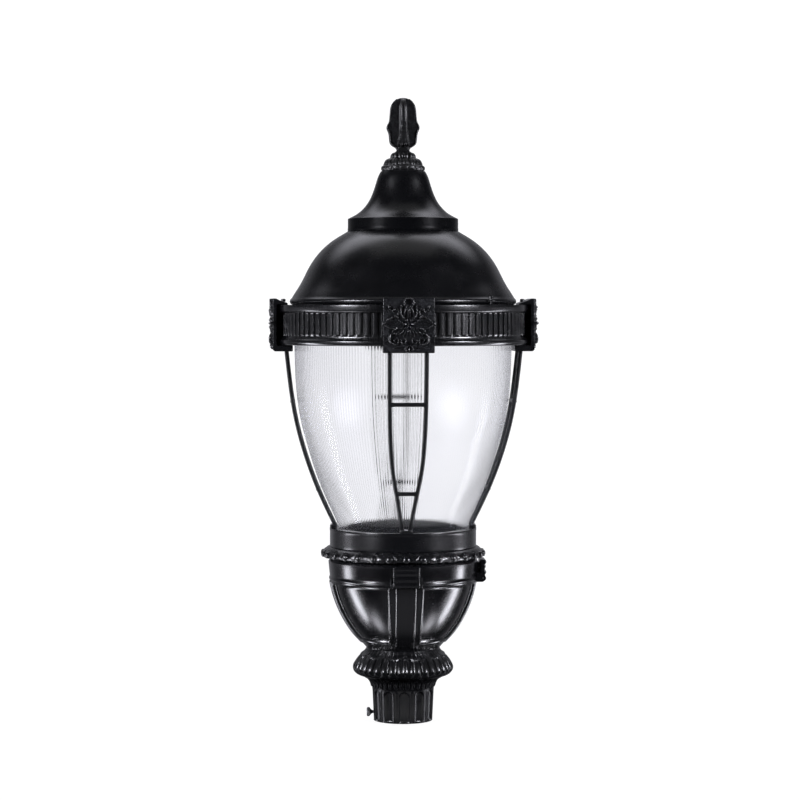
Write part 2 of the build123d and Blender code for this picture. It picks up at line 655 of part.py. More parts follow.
# ---------------------------------------------------------------------------
# Four ladder ribs
# ---------------------------------------------------------------------------
for side, azimuth in SIDES:
    with BuildPart() as rib:
        for sign in (-1, 1):
            with BuildLine():
                Spline([point_at(azimuth, radius, sign * half, z)
                        for radius, z, half in RIB_STATIONS],
                       tangents=[(0, 0, -1), point_at(azimuth, -0.42, -sign * 0.10, -0.90)])
            with BuildSketch(up_plane(azimuth, ROD_TOP_R, sign * ROD_TOP_HALF, ROD_TOP_Z)):
                Circle(ROD_R)
            sweep()
        for bar_radius, bar_z, bar_half in RIB_STATIONS:
            if bar_z in BAR_Z:
                with BuildSketch(side_plane(azimuth)):
                    with Locations((bar_radius, bar_z)):
                        Circle(ROD_R)
                extrude(amount=bar_half, both=True)
        # foot tab on the collar rim
        with BuildSketch(up_plane(azimuth, 139.0, 0, COLLAR_Z1 + GAP)):
            RectangleRounded(15, 30, 4)
        extrude(amount=5)
        with BuildSketch(up_plane(azimuth, RIB_FOOT_R, 0, 380)):
            Circle(2.3)
        extrude(amount=30, mode=Mode.SUBTRACT)
    save(rib, "rib_" + side)

save_screw_circle("rib_foot_screws", RIB_FOOT_R, 0,
                  z=374, shank_r=2.0, shank_length=18.1, head_r=3.8, head_height=3.2)

# ---------------------------------------------------------------------------
# Roof band with its fluted frieze
# ---------------------------------------------------------------------------
FRIEZE_POINTS = 2 * 96    # a crest and a valley for each of the ninety-six flutes
FRIEZE_DEPTH = 1.8
FRIEZE_STEP = 360 / FRIEZE_POINTS
frieze_outline = []
for i in range(FRIEZE_POINTS):
    radius = FRIEZE_R if i % 2 else FRIEZE_R - FRIEZE_DEPTH
    frieze_outline.append((radius * math.cos(math.radians(i * FRIEZE_STEP)),
                           radius * math.sin(math.radians(i * FRIEZE_STEP))))

with BuildPart() as roof_band:
    with BuildSketch(Plane.XZ):
        with BuildLine():
            Polyline((208.0, BAND_Z1), (249.0, BAND_Z1), (BAND_R, 830.5), (BAND_R, 820.0),
                     (247.0, 817.0), (242.0, 816.0), (242.0, 769.0), (246.5, 768.0),
                     (BAND_R, 765.0), (BAND_R, 757.0), (247.5, BAND_Z0), (221.0, BAND_Z0),
                     (221.0, 759.0), (235.5, 759.0), (235.5, 824.0), (208.0, 824.0), close=True)
        make_face()
    revolve(axis=Axis.Z)
    with BuildSketch(Plane.XY.offset(768.5)):
        with BuildLine():
            Polyline(frieze_outline, close=True)
        make_face()
        Circle(240.0, mode=Mode.SUBTRACT)
    extrude(amount=48)
    # seal groove, screw holes of the brackets and cable hole at the rear
    with BuildSketch(Plane.XY.offset(829)):
        Circle(217)
        Circle(212, mode=Mode.SUBTRACT)
    extrude(amount=5, mode=Mode.SUBTRACT)
    with Locations((0, 0, 828)):
        with PolarLocations(ROSETTE_SCREW_R, 4):
            Cylinder(2.55, 12, mode=Mode.SUBTRACT)
    with Locations(point_at(REAR, CONDUIT_TOP_R, 0, CONDUIT_TOP_Z)):
        Cylinder(CONDUIT_HOLE_R, 14, mode=Mode.SUBTRACT)
    # screw holes of the hood hinge leaf
    for lateral in HOOD_LEAF_LATERALS:
        with Locations(point_at(HOOD_HINGE_A, HOOD_LEAF_SCREW_R, lateral, 826)):
            Cylinder(1.55, 16, mode=Mode.SUBTRACT)
save(roof_band, "roof_band")

save_turned("roof_seal",
            [(212.15, 829.05), (216.85, 829.05), (216.85, 831.2), (215.6, 831.9),
             (213.4, 831.9), (212.15, 831.2)])

# ---------------------------------------------------------------------------
# Four rosette brackets that clasp the band and hold the ribs
# ---------------------------------------------------------------------------
ROSETTE_FACE_R, ROSETTE_MID_Z = 259.0, 792
ROSETTE_LOW_Z = 738       # cutters from below start here
CORNER_X, CORNER_Z = 56, 58             # spacing of the corner bosses
SCREW_SEAT_Z = 838.2      # floor of the counterbore for the top screw

for side, azimuth in SIDES:
    with BuildPart() as rosette:
        with BuildSketch(side_plane(azimuth)):
            with BuildLine():
                Polyline((230.0, 832.1), (251.0, 832.1), (251.0, 752.9), (219.6, 752.9),
                         (219.6, 741.5), (221.0, 740.0), (256.0, 740.0), (ROSETTE_FACE_R, 742.0),
                         (ROSETTE_FACE_R, 842.5), (256.5, 845.0), (252.0, 844.5),
                         (246.0, 841.5), (231.0, 836.5), (230.0, 835.0), close=True)
            make_face()
        extrude(amount=49.0, both=True)
        # raised border, corner bosses and centre disc on the outer face
        with BuildSketch(facing_plane(azimuth, ROSETTE_FACE_R, ROSETTE_MID_Z)):
            Rectangle(92, 96)
            Rectangle(74, 78, mode=Mode.SUBTRACT)
            with GridLocations(CORNER_X, CORNER_Z, 2, 2):
                Circle(13)
            Circle(22)
        extrude(amount=4.5)
        # centre button and four petals
        with BuildSketch(facing_plane(azimuth, ROSETTE_FACE_R + 4, ROSETTE_MID_Z)):
            Circle(11)
            with PolarLocations(28, 4, start_angle=0):
                Rectangle(18, 9)
        extrude(amount=5.0)
        # hollows in the corner bosses
        with BuildSketch(facing_plane(azimuth, ROSETTE_FACE_R + 4.5, ROSETTE_MID_Z)):
            with GridLocations(CORNER_X, CORNER_Z, 2, 2):
                Circle(5)
        extrude(amount=-3, mode=Mode.SUBTRACT)
        # sockets for the rib rods and the hole of the top screw
        for sign in (-1, 1):
            with BuildSketch(up_plane(azimuth, ROD_TOP_R, sign * ROD_TOP_HALF, ROSETTE_LOW_Z)):
                Circle(ROD_R + 0.08)
            extrude(amount=10.2, mode=Mode.SUBTRACT)
        with BuildSketch(up_plane(azimuth, ROSETTE_SCREW_R, 0, 828)):
            Circle(2.65)
        extrude(amount=30, mode=Mode.SUBTRACT)
        with BuildSketch(up_plane(azimuth, ROSETTE_SCREW_R, 0, SCREW_SEAT_Z)):
            Circle(5.4)
        extrude(amount=12, mode=Mode.SUBTRACT)
        # passage for the conduit
        if side == "rear":
            with BuildSketch(up_plane(azimuth, CONDUIT_TOP_R, 0, ROSETTE_LOW_Z)):
                Circle(CONDUIT_HOLE_R)
            extrude(amount=16, mode=Mode.SUBTRACT)
    save(rosette, "rosette_" + side)

save_screw_circle("rosette_screws", ROSETTE_SCREW_R, 0,
                  z=825, shank_r=2.5, shank_length=13.3, head_r=4.8, head_height=6.0)

# cable conduit on the rear rib, outside its crossbars
with BuildPart() as feed_conduit:
    with BuildLine():
        Spline([point_at(REAR, radius, lateral, z) for radius, lateral, z in CONDUIT],
               tangents=[(0, 0, -1), point_at(REAR, -0.3, 0, -0.95)])
    with BuildSketch(up_plane(REAR, CONDUIT_TOP_R, 0, CONDUIT_TOP_Z)):
        Circle(CONDUIT_R)
    sweep()
save(feed_conduit, "feed_conduit")

# ---------------------------------------------------------------------------
# Hood hinge, back left on the cornice
# ---------------------------------------------------------------------------
HOOD_PLANE = side_plane(HOOD_HINGE_A)
HOOD_PIVOT = (HOOD_HINGE_R, HOOD_HINGE_Z)

with BuildPart() as hood_hinge_leaf:
    with BuildSketch(HOOD_PLANE):
        with BuildLine():
            Polyline((230.5, BAND_Z1 + GAP), (248.5, BAND_Z1 + GAP), (248.5, 834.0),
                     (242.0, 834.0), (240.5, 842.0), (236.0, 843.2), (231.5, 842.0),
                     (230.5, 836.0), close=True)
        make_face()
    extrude(amount=20.0, both=True)
    # gap for the strap
    with BuildSketch(HOOD_PLANE):
        with BuildLine():
            Polyline((228.0, 832.0), (243.5, 832.0), (243.5, 850.0), (228.0, 850.0), close=True)
        make_face()
    extrude(amount=8.2, both=True, mode=Mode.SUBTRACT)
    with BuildSketch(HOOD_PLANE):
        with Locations(HOOD_PIVOT):
            Circle(PIN_R + FIT)
    extrude(amount=30, both=True, mode=Mode.SUBTRACT)
    for lateral in HOOD_LEAF_LATERALS:
        with Locations(point_at(HOOD_HINGE_A, HOOD_LEAF_SCREW_R, lateral, 833)):
            Cylinder(1.7, 12, mode=Mode.SUBTRACT)
save(hood_hinge_leaf, "hood_hinge_leaf")

with BuildPart() as hood_hinge_screws:
    for lateral in HOOD_LEAF_LATERALS:
        with Locations(point_at(HOOD_HINGE_A, HOOD_LEAF_SCREW_R, lateral, 820.0)):
            Cylinder(1.5, 14.1, align=STAND)
        with Locations(point_at(HOOD_HINGE_A, 244.7, lateral, 834.1)):
            Cylinder(2.4, 1.8, align=STAND)
save(hood_hinge_screws, "hood_hinge_screws")

save_pins("hood_hinge_pin", [HOOD_PLANE], HOOD_PIVOT, PIN_R, half_length=21.0)

with BuildPart() as hood_hinge_strap:
    with BuildSketch(HOOD_PLANE):
        with Locations(HOOD_PIVOT):
            Circle(5.0)
        with BuildLine():
            Polyline((231.6, 840.0), (240.4, 840.0), (237.0, 847.0), (224.8, 857.5),
                     (208.4, 880.3), (204.6, 878.4), (207.35, 871.6), (211.35, 865.2),
                     (215.2, 859.0), (220.9, 852.2), close=True)
        make_face()
    extrude(amount=7.5, both=True)
    with BuildSketch(HOOD_PLANE):
        with Locations(HOOD_PIVOT):
            Circle(PIN_R + RUN)
    extrude(amount=30, both=True, mode=Mode.SUBTRACT)
save(hood_hinge_strap, "hood_hinge_strap")

# ---------------------------------------------------------------------------
# Hood: dome, cupola and finial, clamped by one rod
# ---------------------------------------------------------------------------
ROD_HOLE_R = 5.5          # hole for the finial rod in the stacked pieces
FINIAL_ROD_R = 5.0
FINIAL_ARM_HALF = 6.0

with BuildPart() as dome:
    with BuildSketch(Plane.XZ):
        with BuildLine():
            inner = inset(DOME_OUT, DOME_T)
            inner[0] = (219.4, 843.6)
            inner[-1] = (109.6, DOME_TOP - DOME_T)
            Spline(DOME_OUT)
            Polyline(DOME_OUT[-1], (ROD_HOLE_R, DOME_TOP), (ROD_HOLE_R, DOME_TOP - DOME_T),
                     inner[-1])
            Spline(inner)
            Line(inner[0], DOME_OUT[0])
        make_face()
    revolve(axis=Axis.Z)
    # rolled hem
    with BuildSketch(Plane.XZ):
        with Locations((HEM_R, HEM_Z)):
            Circle(HEM_T)
    revolve(axis=Axis.Z)
    # lug of the captive screw
    with BuildSketch(up_plane(HOOD_SCREW_A, 229.0, 0, 840.0)):
        RectangleRounded(16, 14, 4)
    extrude(amount=3.0)
    with BuildSketch(up_plane(HOOD_SCREW_A, HOOD_SCREW_R, 0, 830.0)):
        Circle(2.6)
    extrude(amount=20, mode=Mode.SUBTRACT)
    # holes of the heat-sink screws
    with Locations((0, 0, 976)):
        with PolarLocations(SINK_SCREW_R, 4):
            Cylinder(2.3, 12, mode=Mode.SUBTRACT)
save(dome, "dome")

with BuildPart() as hood_screw:
    with BuildSketch(up_plane(HOOD_SCREW_A, HOOD_SCREW_R, 0, 832.6)):
        Circle(2.5)
    extrude(amount=10.5)
    with BuildSketch(up_plane(HOOD_SCREW_A, HOOD_SCREW_R, 0, 843.1)):
        Circle(5.0)
    extrude(amount=5.0)
    # driver slot
    with BuildSketch(up_plane(HOOD_SCREW_A, HOOD_SCREW_R, 0, 848.1)):
        Rectangle(11, 1.4)
    extrude(amount=-2.2, mode=Mode.SUBTRACT)
save(hood_screw, "hood_screw")

cupola_inner = ([(CUPOLA_R - CUPOLA_T, 1001.0)] + inset(CUPOLA_OUT, CUPOLA_T)[1:-1]
                + [(42.4, CUPOLA_TOP - CUPOLA_T)])
save_turned("cupola",
            [(CUPOLA_R - CUPOLA_T, DOME_TOP + GAP), (CUPOLA_R, DOME_TOP + GAP)] + CUPOLA_OUT
            + [(ROD_HOLE_R, CUPOLA_TOP), (ROD_HOLE_R, CUPOLA_TOP - CUPOLA_T)]
            + list(reversed(cupola_inner)))

save_turned("finial_base",
            [(ROD_HOLE_R, CUPOLA_TOP + GAP), (41.0, CUPOLA_TOP + GAP), (42.5, 1101.0),
             (44.0, 1104.0), (43.5, 1107.0), (41.0, 1108.5), (38.6, 1110.0), (34.8, 1116.0),
             (29.8, 1122.0), (25.6, 1128.0), (19.0, 1134.0), (12.8, 1139.9),
             (ROD_HOLE_R, 1139.9)])

# two crossed plates on a round core
finial_outline = FINIAL_HALF + [(-x, z) for x, z in reversed(FINIAL_HALF[:-1])]
with BuildPart() as finial:
    for plate_plane in (Plane.XZ, Plane.YZ):
        with BuildSketch(plate_plane):
            with BuildLine():
                Polyline(finial_outline, close=True)
            make_face()
        extrude(amount=FINIAL_ARM_HALF, both=True)
    with BuildSketch(Plane.XY.offset(1140)):
        Circle(12.6)
    extrude(amount=92)
    with BuildSketch(Plane.XY.offset(1139)):
        Circle(FINIAL_ROD_R + 0.05)
    extrude(amount=33, mode=Mode.SUBTRACT)
save(finial, "finial")

with BuildPart() as finial_rod:
    with BuildSketch(Plane.XY.offset(962)):
        Circle(FINIAL_ROD_R)
    extrude(amount=208)
save(finial_rod, "finial_rod")

with BuildPart() as finial_nut:
    with BuildSketch(Plane.XY.offset(966)):
        RegularPolygon(9.8, 6)
        Circle(FINIAL_ROD_R + 0.03, mode=Mode.SUBTRACT)
    extrude(amount=9.4)
save(finial_nut, "finial_nut")

# ---------------------------------------------------------------------------
# Light source under the hood
# ---------------------------------------------------------------------------
SINK_FIN_Z = 912          # fins and posts start just inside the base disc
BOARD_Z = 902.4           # underside of the board and rim of the reflector

with BuildPart() as heat_sink:
    with BuildSketch(Plane.XY.offset(904.05)):
        Circle(95)
    extrude(amount=8)
    with BuildSketch(Plane.XY.offset(SINK_FIN_Z)):
        with PolarLocations(62, 24):
            Rectangle(62, 2.6)
    extrude(amount=33)
    # posts up to the dome
    with BuildSketch(Plane.XY.offset(SINK_FIN_Z)):
        with PolarLocations(SINK_SCREW_R, 4):
            Circle(6)
    extrude(amount=63.45)
    with Locations((0, 0, 976)):
        with PolarLocations(SINK_SCREW_R, 4):
            Cylinder(2.05, 30, mode=Mode.SUBTRACT)
save(heat_sink, "heat_sink")

save_screw_circle("heat_sink_screws", SINK_SCREW_R, 0,
                  z=963, shank_r=2.0, shank_length=15.1, head_r=3.8, head_height=3.0)

with BuildPart() as led_board:
    with BuildSketch(Plane.XY.offset(BOARD_Z)):
        Circle(60)
    extrude(amount=1.6)
    # two rings of LEDs on the underside
    with BuildSketch(Plane.XY.offset(BOARD_Z)):
        with PolarLocations(44, 12):
            Rectangle(5, 5)
        with PolarLocations(22, 6):
            Rectangle(5, 5)
    extrude(amount=-1.2)
save(led_board, "led_board")

save_turned("led_lens",
            [(0, 878.0), (22.0, 879.5), (42.0, 884.0), (56.0, 891.0), (63.0, 898.0),
             (65.5, 902.3), (61.5, 902.3), (59.8, 899.4), (53.5, 893.6), (40.5, 887.4),
             (21.5, 883.0), (0, 881.5)])

save_turned("reflector",
            [(67.0, 904.0), (93.0, 904.0), (206.0, 850.5), (206.0, 848.6),
             (92.0, BOARD_Z), (67.0, BOARD_Z)])
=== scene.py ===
"""Looks of a post-top street lantern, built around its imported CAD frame.

The lantern stands upright on the z axis, with its foot at z = 0, its front towards -y and
its right side towards +x. Mesh sizes are in millimetres; materials and staging use metres.
"""
import math

import bpy
import numpy as np
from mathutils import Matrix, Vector


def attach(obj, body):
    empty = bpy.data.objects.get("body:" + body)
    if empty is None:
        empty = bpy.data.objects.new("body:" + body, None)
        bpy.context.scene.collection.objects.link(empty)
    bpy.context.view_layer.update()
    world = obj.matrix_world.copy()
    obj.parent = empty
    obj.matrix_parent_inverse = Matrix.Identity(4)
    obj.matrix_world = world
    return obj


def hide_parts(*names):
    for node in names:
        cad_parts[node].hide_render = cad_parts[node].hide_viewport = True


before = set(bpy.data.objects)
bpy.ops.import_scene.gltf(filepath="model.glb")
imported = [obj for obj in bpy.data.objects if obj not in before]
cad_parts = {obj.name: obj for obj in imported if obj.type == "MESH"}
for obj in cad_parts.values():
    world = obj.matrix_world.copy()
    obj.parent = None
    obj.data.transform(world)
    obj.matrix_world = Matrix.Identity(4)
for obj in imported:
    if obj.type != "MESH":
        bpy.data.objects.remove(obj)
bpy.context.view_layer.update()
TAU = 2.0 * math.pi
FRONT = -math.pi / 2    # azimuth of the front, radians
SIDES = (("front", -90.0), ("right", 0.0), ("rear", 90.0), ("left", 180.0))
LATCH_SIDES = SIDES[:2]

# ---------------------------------------------------------------------------
# node graphs
# ---------------------------------------------------------------------------


def rgba(color):
    """A grey level or an RGB triple as an opaque colour."""
    return (color, color, color, 1) if isinstance(color, (int, float)) else (*color, 1)


def scaled(color, factor):
    return [min(1.0, channel * factor) for channel in color]


class Graph:
    """A cleared node tree. Inputs given as sockets are linked, others are set."""

    def __init__(self, tree):
        self.tree = tree
        tree.nodes.clear()

    def add(self, kind, inputs=None, **props):
        node = self.tree.nodes.new("ShaderNode" + kind)
        for name, value in props.items():
            setattr(node, name, value)
        for key, value in (inputs or {}).items():
            if isinstance(value, bpy.types.NodeSocket):
                self.tree.links.new(value, node.inputs[key])
            else:
                node.inputs[key].default_value = value
        return node

    def calc(self, operation, *values):
        return self.add("Math", dict(enumerate(values)), operation=operation).outputs["Value"]

    def product(self, *values):
        total = values[0]
        for value in values[1:]:
            total = self.calc("MULTIPLY", total, value)
        return total

    def object_coords(self, scale=(1, 1, 1)):
        coords = self.add("TexCoord").outputs["Object"]
        return self.add("Mapping", {"Vector": coords, "Scale": scale}).outputs["Vector"]

    def axes(self, vector):
        return self.add("SeparateXYZ", {"Vector": vector}).outputs

    def noise(self, coords, scale, detail, rough=0.5):
        return self.add("TexNoise", {"Vector": coords, "Scale": scale, "Detail": detail,
                                     "Roughness": rough}).outputs["Fac"]

    def ramp(self, source, stops, interp="LINEAR"):
        """Colour ramp with (position, colour) stops."""
        node = self.add("ValToRGB", {"Fac": source})
        node.color_ramp.interpolation = interp
        elements = node.color_ramp.elements
        while len(elements) > 1:
            elements.remove(elements[-1])
        elements[0].position, elements[0].color = stops[0][0], rgba(stops[0][1])
        for position, color in stops[1:]:
            elements.new(position).color = rgba(color)
        return node.outputs["Color"]

    def tone(self, source, base, dark, light):
        """Base colour that wanders between two brightness factors."""
        return self.ramp(source, [(0.3, scaled(base, dark)), (0.7, scaled(base, light))])

    def map_range(self, value, source, target=(0.0, 1.0), interp="LINEAR"):
        return self.add("MapRange", {
            "Value": value, "From Min": source[0], "From Max": source[1],
            "To Min": target[0], "To Max": target[1]}, interpolation_type=interp).outputs["Result"]

    def step(self, value, low, high):
        return self.map_range(value, (low, high), interp="SMOOTHSTEP")

    def band(self, value, low, high, soft):
        """1 between low and high, with both edges softened."""
        return self.product(self.step(value, low - soft, low + soft),
                            self.calc("SUBTRACT", 1.0, self.step(value, high - soft, high + soft)))

    def bump(self, height, strength, distance):
        return self.add("Bump", {"Height": height, "Strength": strength,
                                 "Distance": distance}).outputs["Normal"]

    def mix(self, factor, first, second, data_type="RGBA", **props):
        return self.add("Mix", {"Factor": factor, "A": first, "B": second},
                        data_type=data_type, **props).outputs["Result"]

    def mix_shader(self, factor, first, second):
        return self.add("MixShader", {"Fac": factor, 1: first, 2: second}).outputs["Shader"]

    def emission(self, color, strength):
        return self.add("Emission", {"Color": color, "Strength": strength}).outputs["Emission"]


class MaterialGraph(Graph):
    def __init__(self, name):
        self.material = bpy.data.materials.new(name)
        self.material.use_nodes = True
        super().__init__(self.material.node_tree)

    def finish(self, shader):
        self.add("OutputMaterial", {"Surface": shader})
        return self.material

    def principled(self, inputs):
        return self.finish(self.add("BsdfPrincipled", inputs).outputs["BSDF"])


# ---------------------------------------------------------------------------
# materials
# ---------------------------------------------------------------------------


def powder_coat(name, base, rough, peel=0.25, peel_scale=900.0, edge_wear_and_highlight=0.10, spec=0.5, coat=0.0,
                follow=None, source=None, target=None):
    """Black powder coat: fine orange peel, uneven gloss and pale edges, which are rubbed paint
    and, where turned up on the relief coat, a painted highlight on the ridges.

    With follow, the specular level goes over target as the face's tilt ("tilt") or the
    height on the piece in metres ("height") goes over source.
    """
    graph = MaterialGraph(name)
    coords = graph.object_coords()
    tone = graph.tone(graph.noise(coords, scale=9.0, detail=4.0), base, dark=0.8, light=1.25)
    edge = graph.ramp(graph.add("NewGeometry").outputs["Pointiness"], [(0.515, 0.0), (0.58, 1.0)])
    grit = graph.ramp(graph.noise(coords, scale=260.0, detail=2.0), [(0.42, 0.0), (0.62, 1.0)])
    rubbed_and_highlit = graph.product(edge, grit, edge_wear_and_highlight)
    # pale edges: rubbed paint, and on the relief coat a painted highlight along the ridges
    color = graph.mix(rubbed_and_highlit, tone, (0.16, 0.165, 0.175, 1))
    roughness = graph.map_range(graph.noise(coords, scale=34.0, detail=3.0), source=(0.25, 0.75),
                                target=(rough * 0.82, rough * 1.2))
    grain = graph.noise(coords, scale=peel_scale, detail=2.0, rough=0.6)
    normal = graph.bump(grain, strength=peel, distance=0.0003)
    if follow:
        vector = (graph.add("NewGeometry").outputs["Normal"] if follow == "tilt"
                  else graph.add("TexCoord").outputs["Object"])
        spec = graph.map_range(graph.axes(vector)["Z"], source, target, "SMOOTHSTEP")
    return graph.principled({
        "Base Color": color, "Roughness": roughness, "Normal": normal,
        "Specular IOR Level": spec, "Coat Weight": coat, "Coat Roughness": 0.12})


def steel(name, base=(0.55, 0.56, 0.57), rough=0.28):
    """Bare metal with a fine grain drawn across the height."""
    graph = MaterialGraph(name)
    grain = graph.noise(graph.object_coords((1, 1, 14)), scale=420.0, detail=3.0)
    roughness = graph.map_range(grain, source=(0.3, 0.7), target=(rough * 0.75, rough * 1.35))
    return graph.principled({
        "Metallic": 1.0, "Base Color": graph.tone(grain, base, dark=0.85, light=1.1),
        "Roughness": roughness, "Normal": graph.bump(grain, strength=0.15, distance=0.0002)})


def plain(name, base, rough, metallic=0.0, scale=300.0, bump=0.15, vary=0.12, transmission=0.0):
    """Moulded, cast or painted surface: mottled colour, uneven gloss and a fine texture."""
    graph = MaterialGraph(name)
    coords = graph.object_coords()
    tone = graph.tone(graph.noise(coords, scale=18.0, detail=4.0), base, 1 - vary, 1 + vary)
    grain = graph.noise(coords, scale=scale, detail=2.0)
    roughness = graph.map_range(grain, source=(0.3, 0.7), target=(rough * 0.85, rough * 1.15))
    return graph.principled({
        "Metallic": metallic, "Specular IOR Level": 0.5, "Transmission Weight": transmission,
        "Base Color": tone, "Roughness": roughness,
        "Normal": graph.bump(grain, strength=bump, distance=0.0003)})


def prism_glass(name):
    """Clear glass. Shadow, diffuse and deep rays pass, so what is inside stays lit."""
    glass_ior, glass_rough = 1.47, 0.11
    graph = MaterialGraph(name)
    coords = graph.object_coords()
    tint = graph.ramp(graph.noise(coords, scale=5.0, detail=2.0),
                      [(0.3, (0.965, 0.966, 0.976)), (0.7, (0.985, 0.986, 0.992))])
    wobble = graph.noise(coords, scale=22.0, detail=1.0)
    normal = graph.bump(wobble, strength=0.012, distance=0.001)
    bend = graph.add("BsdfRefraction", {"IOR": glass_ior, "Roughness": glass_rough,
                                        "Color": tint, "Normal": normal})
    shine = graph.add("BsdfGlossy", {"Roughness": glass_rough, "Color": (0.97, 0.97, 0.985, 1),
                                     "Normal": normal})
    fresnel = graph.add("Fresnel", {"IOR": glass_ior, "Normal": normal}).outputs["Fac"]
    # front faces keep only a little of the mirror reflection
    keep = graph.map_range(graph.add("NewGeometry").outputs["Backfacing"], source=(0.0, 1.0),
                           target=(0.14, 1.0))
    share = graph.product(fresnel, keep)
    glass = graph.mix_shader(share, bend.outputs["BSDF"], shine.outputs["BSDF"])
    clear = graph.add("BsdfTransparent", {"Color": (0.93, 0.935, 0.95, 1)}).outputs["BSDF"]
    ray = graph.add("LightPath").outputs
    soft_ray = graph.calc("MAXIMUM", ray["Is Shadow Ray"], ray["Is Diffuse Ray"])
    deep_ray = graph.calc("GREATER_THAN", ray["Ray Depth"], 6.5)
    passes = graph.calc("MAXIMUM", soft_ray, deep_ray)
    return graph.finish(graph.mix_shader(passes, glass, clear))


MATERIALS = {
    "cast": powder_coat("black_cast_coat", (0.0032, 0.0034, 0.0042), rough=0.24, peel=0.22,
                        edge_wear_and_highlight=0.16, coat=0.35),
    "satin": powder_coat("black_satin_coat", (0.0030, 0.0032, 0.0038), rough=0.25, peel=0.22,
                         peel_scale=1200.0),
    # lighter copy of the black coat with strongly paled edges: painted highlights on the rosette
    # relief
    "relief": powder_coat("black_relief_coat", (0.0060, 0.0063, 0.0074), rough=0.27, peel=0.15,
                          edge_wear_and_highlight=0.42, spec=0.6, coat=0.35),
    "dull": powder_coat("black_dull_coat", (0.0034, 0.0036, 0.0041), rough=0.36, edge_wear_and_highlight=0.12),
    # the leaf undersides shine less: painted shade, the gloss turned down on faces that look down
    "softcast": powder_coat("black_soft_cast_coat", (0.0034, 0.0036, 0.0042), rough=0.31,
                            peel=0.22, edge_wear_and_highlight=0.14, follow="tilt", source=(-0.14, 0.19),
                            target=(0.04, 0.80)),
    "ring": powder_coat("black_ring_coat", (0.0034, 0.0036, 0.0042), rough=0.26, peel=0.16,
                        edge_wear_and_highlight=0.12, spec=0.8),
    # the cupola's rolled rim is duller than the spun bell above it
    "cupola": powder_coat("black_cupola_coat", (0.0030, 0.0032, 0.0038), rough=0.27, peel=0.22,
                          peel_scale=1200.0, follow="height", source=(1.0022, 1.0042),
                          target=(0.06, 0.29)),
    "rod": powder_coat("black_rod_coat", (0.0034, 0.0036, 0.0042), rough=0.34, edge_wear_and_highlight=0.12,
                       spec=0.45),
    "plate": powder_coat("black_plate_coat", (0.0060, 0.0064, 0.0070), rough=0.72, edge_wear_and_highlight=0.05,
                         spec=0.22),
    "glass": prism_glass("prismatic_glass"),
    "rubber": plain("silicone_rubber", (0.016, 0.016, 0.017), rough=0.7, scale=500.0, bump=0.3),
    "steel": steel("stainless_steel"),
    "darksteel": steel("black_oxide_steel", base=(0.16, 0.16, 0.165), rough=0.36),
    "zinc": steel("zinc_plated_steel", base=(0.34, 0.34, 0.35), rough=0.42),
    "driver": plain("driver_case_aluminium", (0.72, 0.73, 0.74), rough=0.36, metallic=0.9,
                    scale=240.0),
    "grey": plain("terminal_plastic", (0.30, 0.31, 0.32), rough=0.5, scale=600.0),
    "white": plain("surge_plastic", (0.80, 0.80, 0.79), rough=0.35, scale=600.0, vary=0.04),
    "alu": plain("cast_aluminium", (0.62, 0.63, 0.64), rough=0.42, metallic=0.95, scale=700.0,
                 bump=0.4),
    "board": plain("board_mask", (0.84, 0.84, 0.80), rough=0.4, scale=200.0, vary=0.05),
    "lens": plain("frosted_lens", (0.90, 0.92, 0.93), rough=0.35, scale=350.0, vary=0.03,
                  transmission=0.6),
    "reflector": plain("reflector_paint", (0.83, 0.83, 0.82), rough=0.5, scale=500.0, vary=0.03),
}

# ---------------------------------------------------------------------------
# meshes as (vertices, faces)
# ---------------------------------------------------------------------------


def outward(verts, faces):
    """Faces turned so that the signed volume is positive."""
    volume = 0.0
    for corners in {len(face) for face in faces}:
        group = np.array([face for face in faces if len(face) == corners])
        first = verts[group[:, 0]]
        for i in range(1, corners - 1):
            normal = np.cross(verts[group[:, i]], verts[group[:, i + 1]])
            volume += float(np.einsum("ij,ij->i", first, normal).sum())
    return [tuple(reversed(face)) for face in faces] if volume < 0 else faces


def shade(mesh, sharp):
    """Smooth shading, with edges above sharp degrees kept crisp."""
    mesh.shade_smooth()
    mesh.set_sharp_from_angle(angle=math.radians(sharp))


def make_object(name, verts, faces, body, material, slot, nodes=(), sharp=38.0):
    """Object on a frame body that takes the place of the given CAD nodes."""
    verts = np.asarray(verts, float) * 0.001
    mesh = bpy.data.meshes.new(name)
    mesh.from_pydata(verts.tolist(), [], outward(verts, faces))
    mesh.validate()
    shade(mesh, sharp)
    mesh.materials.append(MATERIALS[material])
    ob = bpy.data.objects.new(name, mesh)
    bpy.context.scene.collection.objects.link(ob)
    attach(ob, body)
    if nodes:
        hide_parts(*nodes)


class Shells:
    """Collects closed shells into one piece."""

    def __init__(self):
        self.verts, self.faces = [], []

    def add(self, verts, faces):
        start = sum(map(len, self.verts))
        self.faces += [tuple(i + start for i in face) for face in outward(verts, faces)]
        self.verts.append(verts)

    def build(self, name, body, material, slot, nodes=(), sharp=38.0):
        make_object(name, np.vstack(self.verts), self.faces, body, material, slot, nodes, sharp)


def grid_faces(rows, columns, wrap_rows, wrap_columns):
    row = np.arange(rows if wrap_rows else rows - 1)
    column = np.arange(columns if wrap_columns else columns - 1)
    row, column = np.meshgrid(row, column, indexing="ij")
    here, after = row * columns, (row + 1) % rows * columns
    beside = (column + 1) % columns
    corners = [here + column, after + column, after + beside, here + beside]
    return np.stack(corners, -1).reshape(-1, 4).tolist()


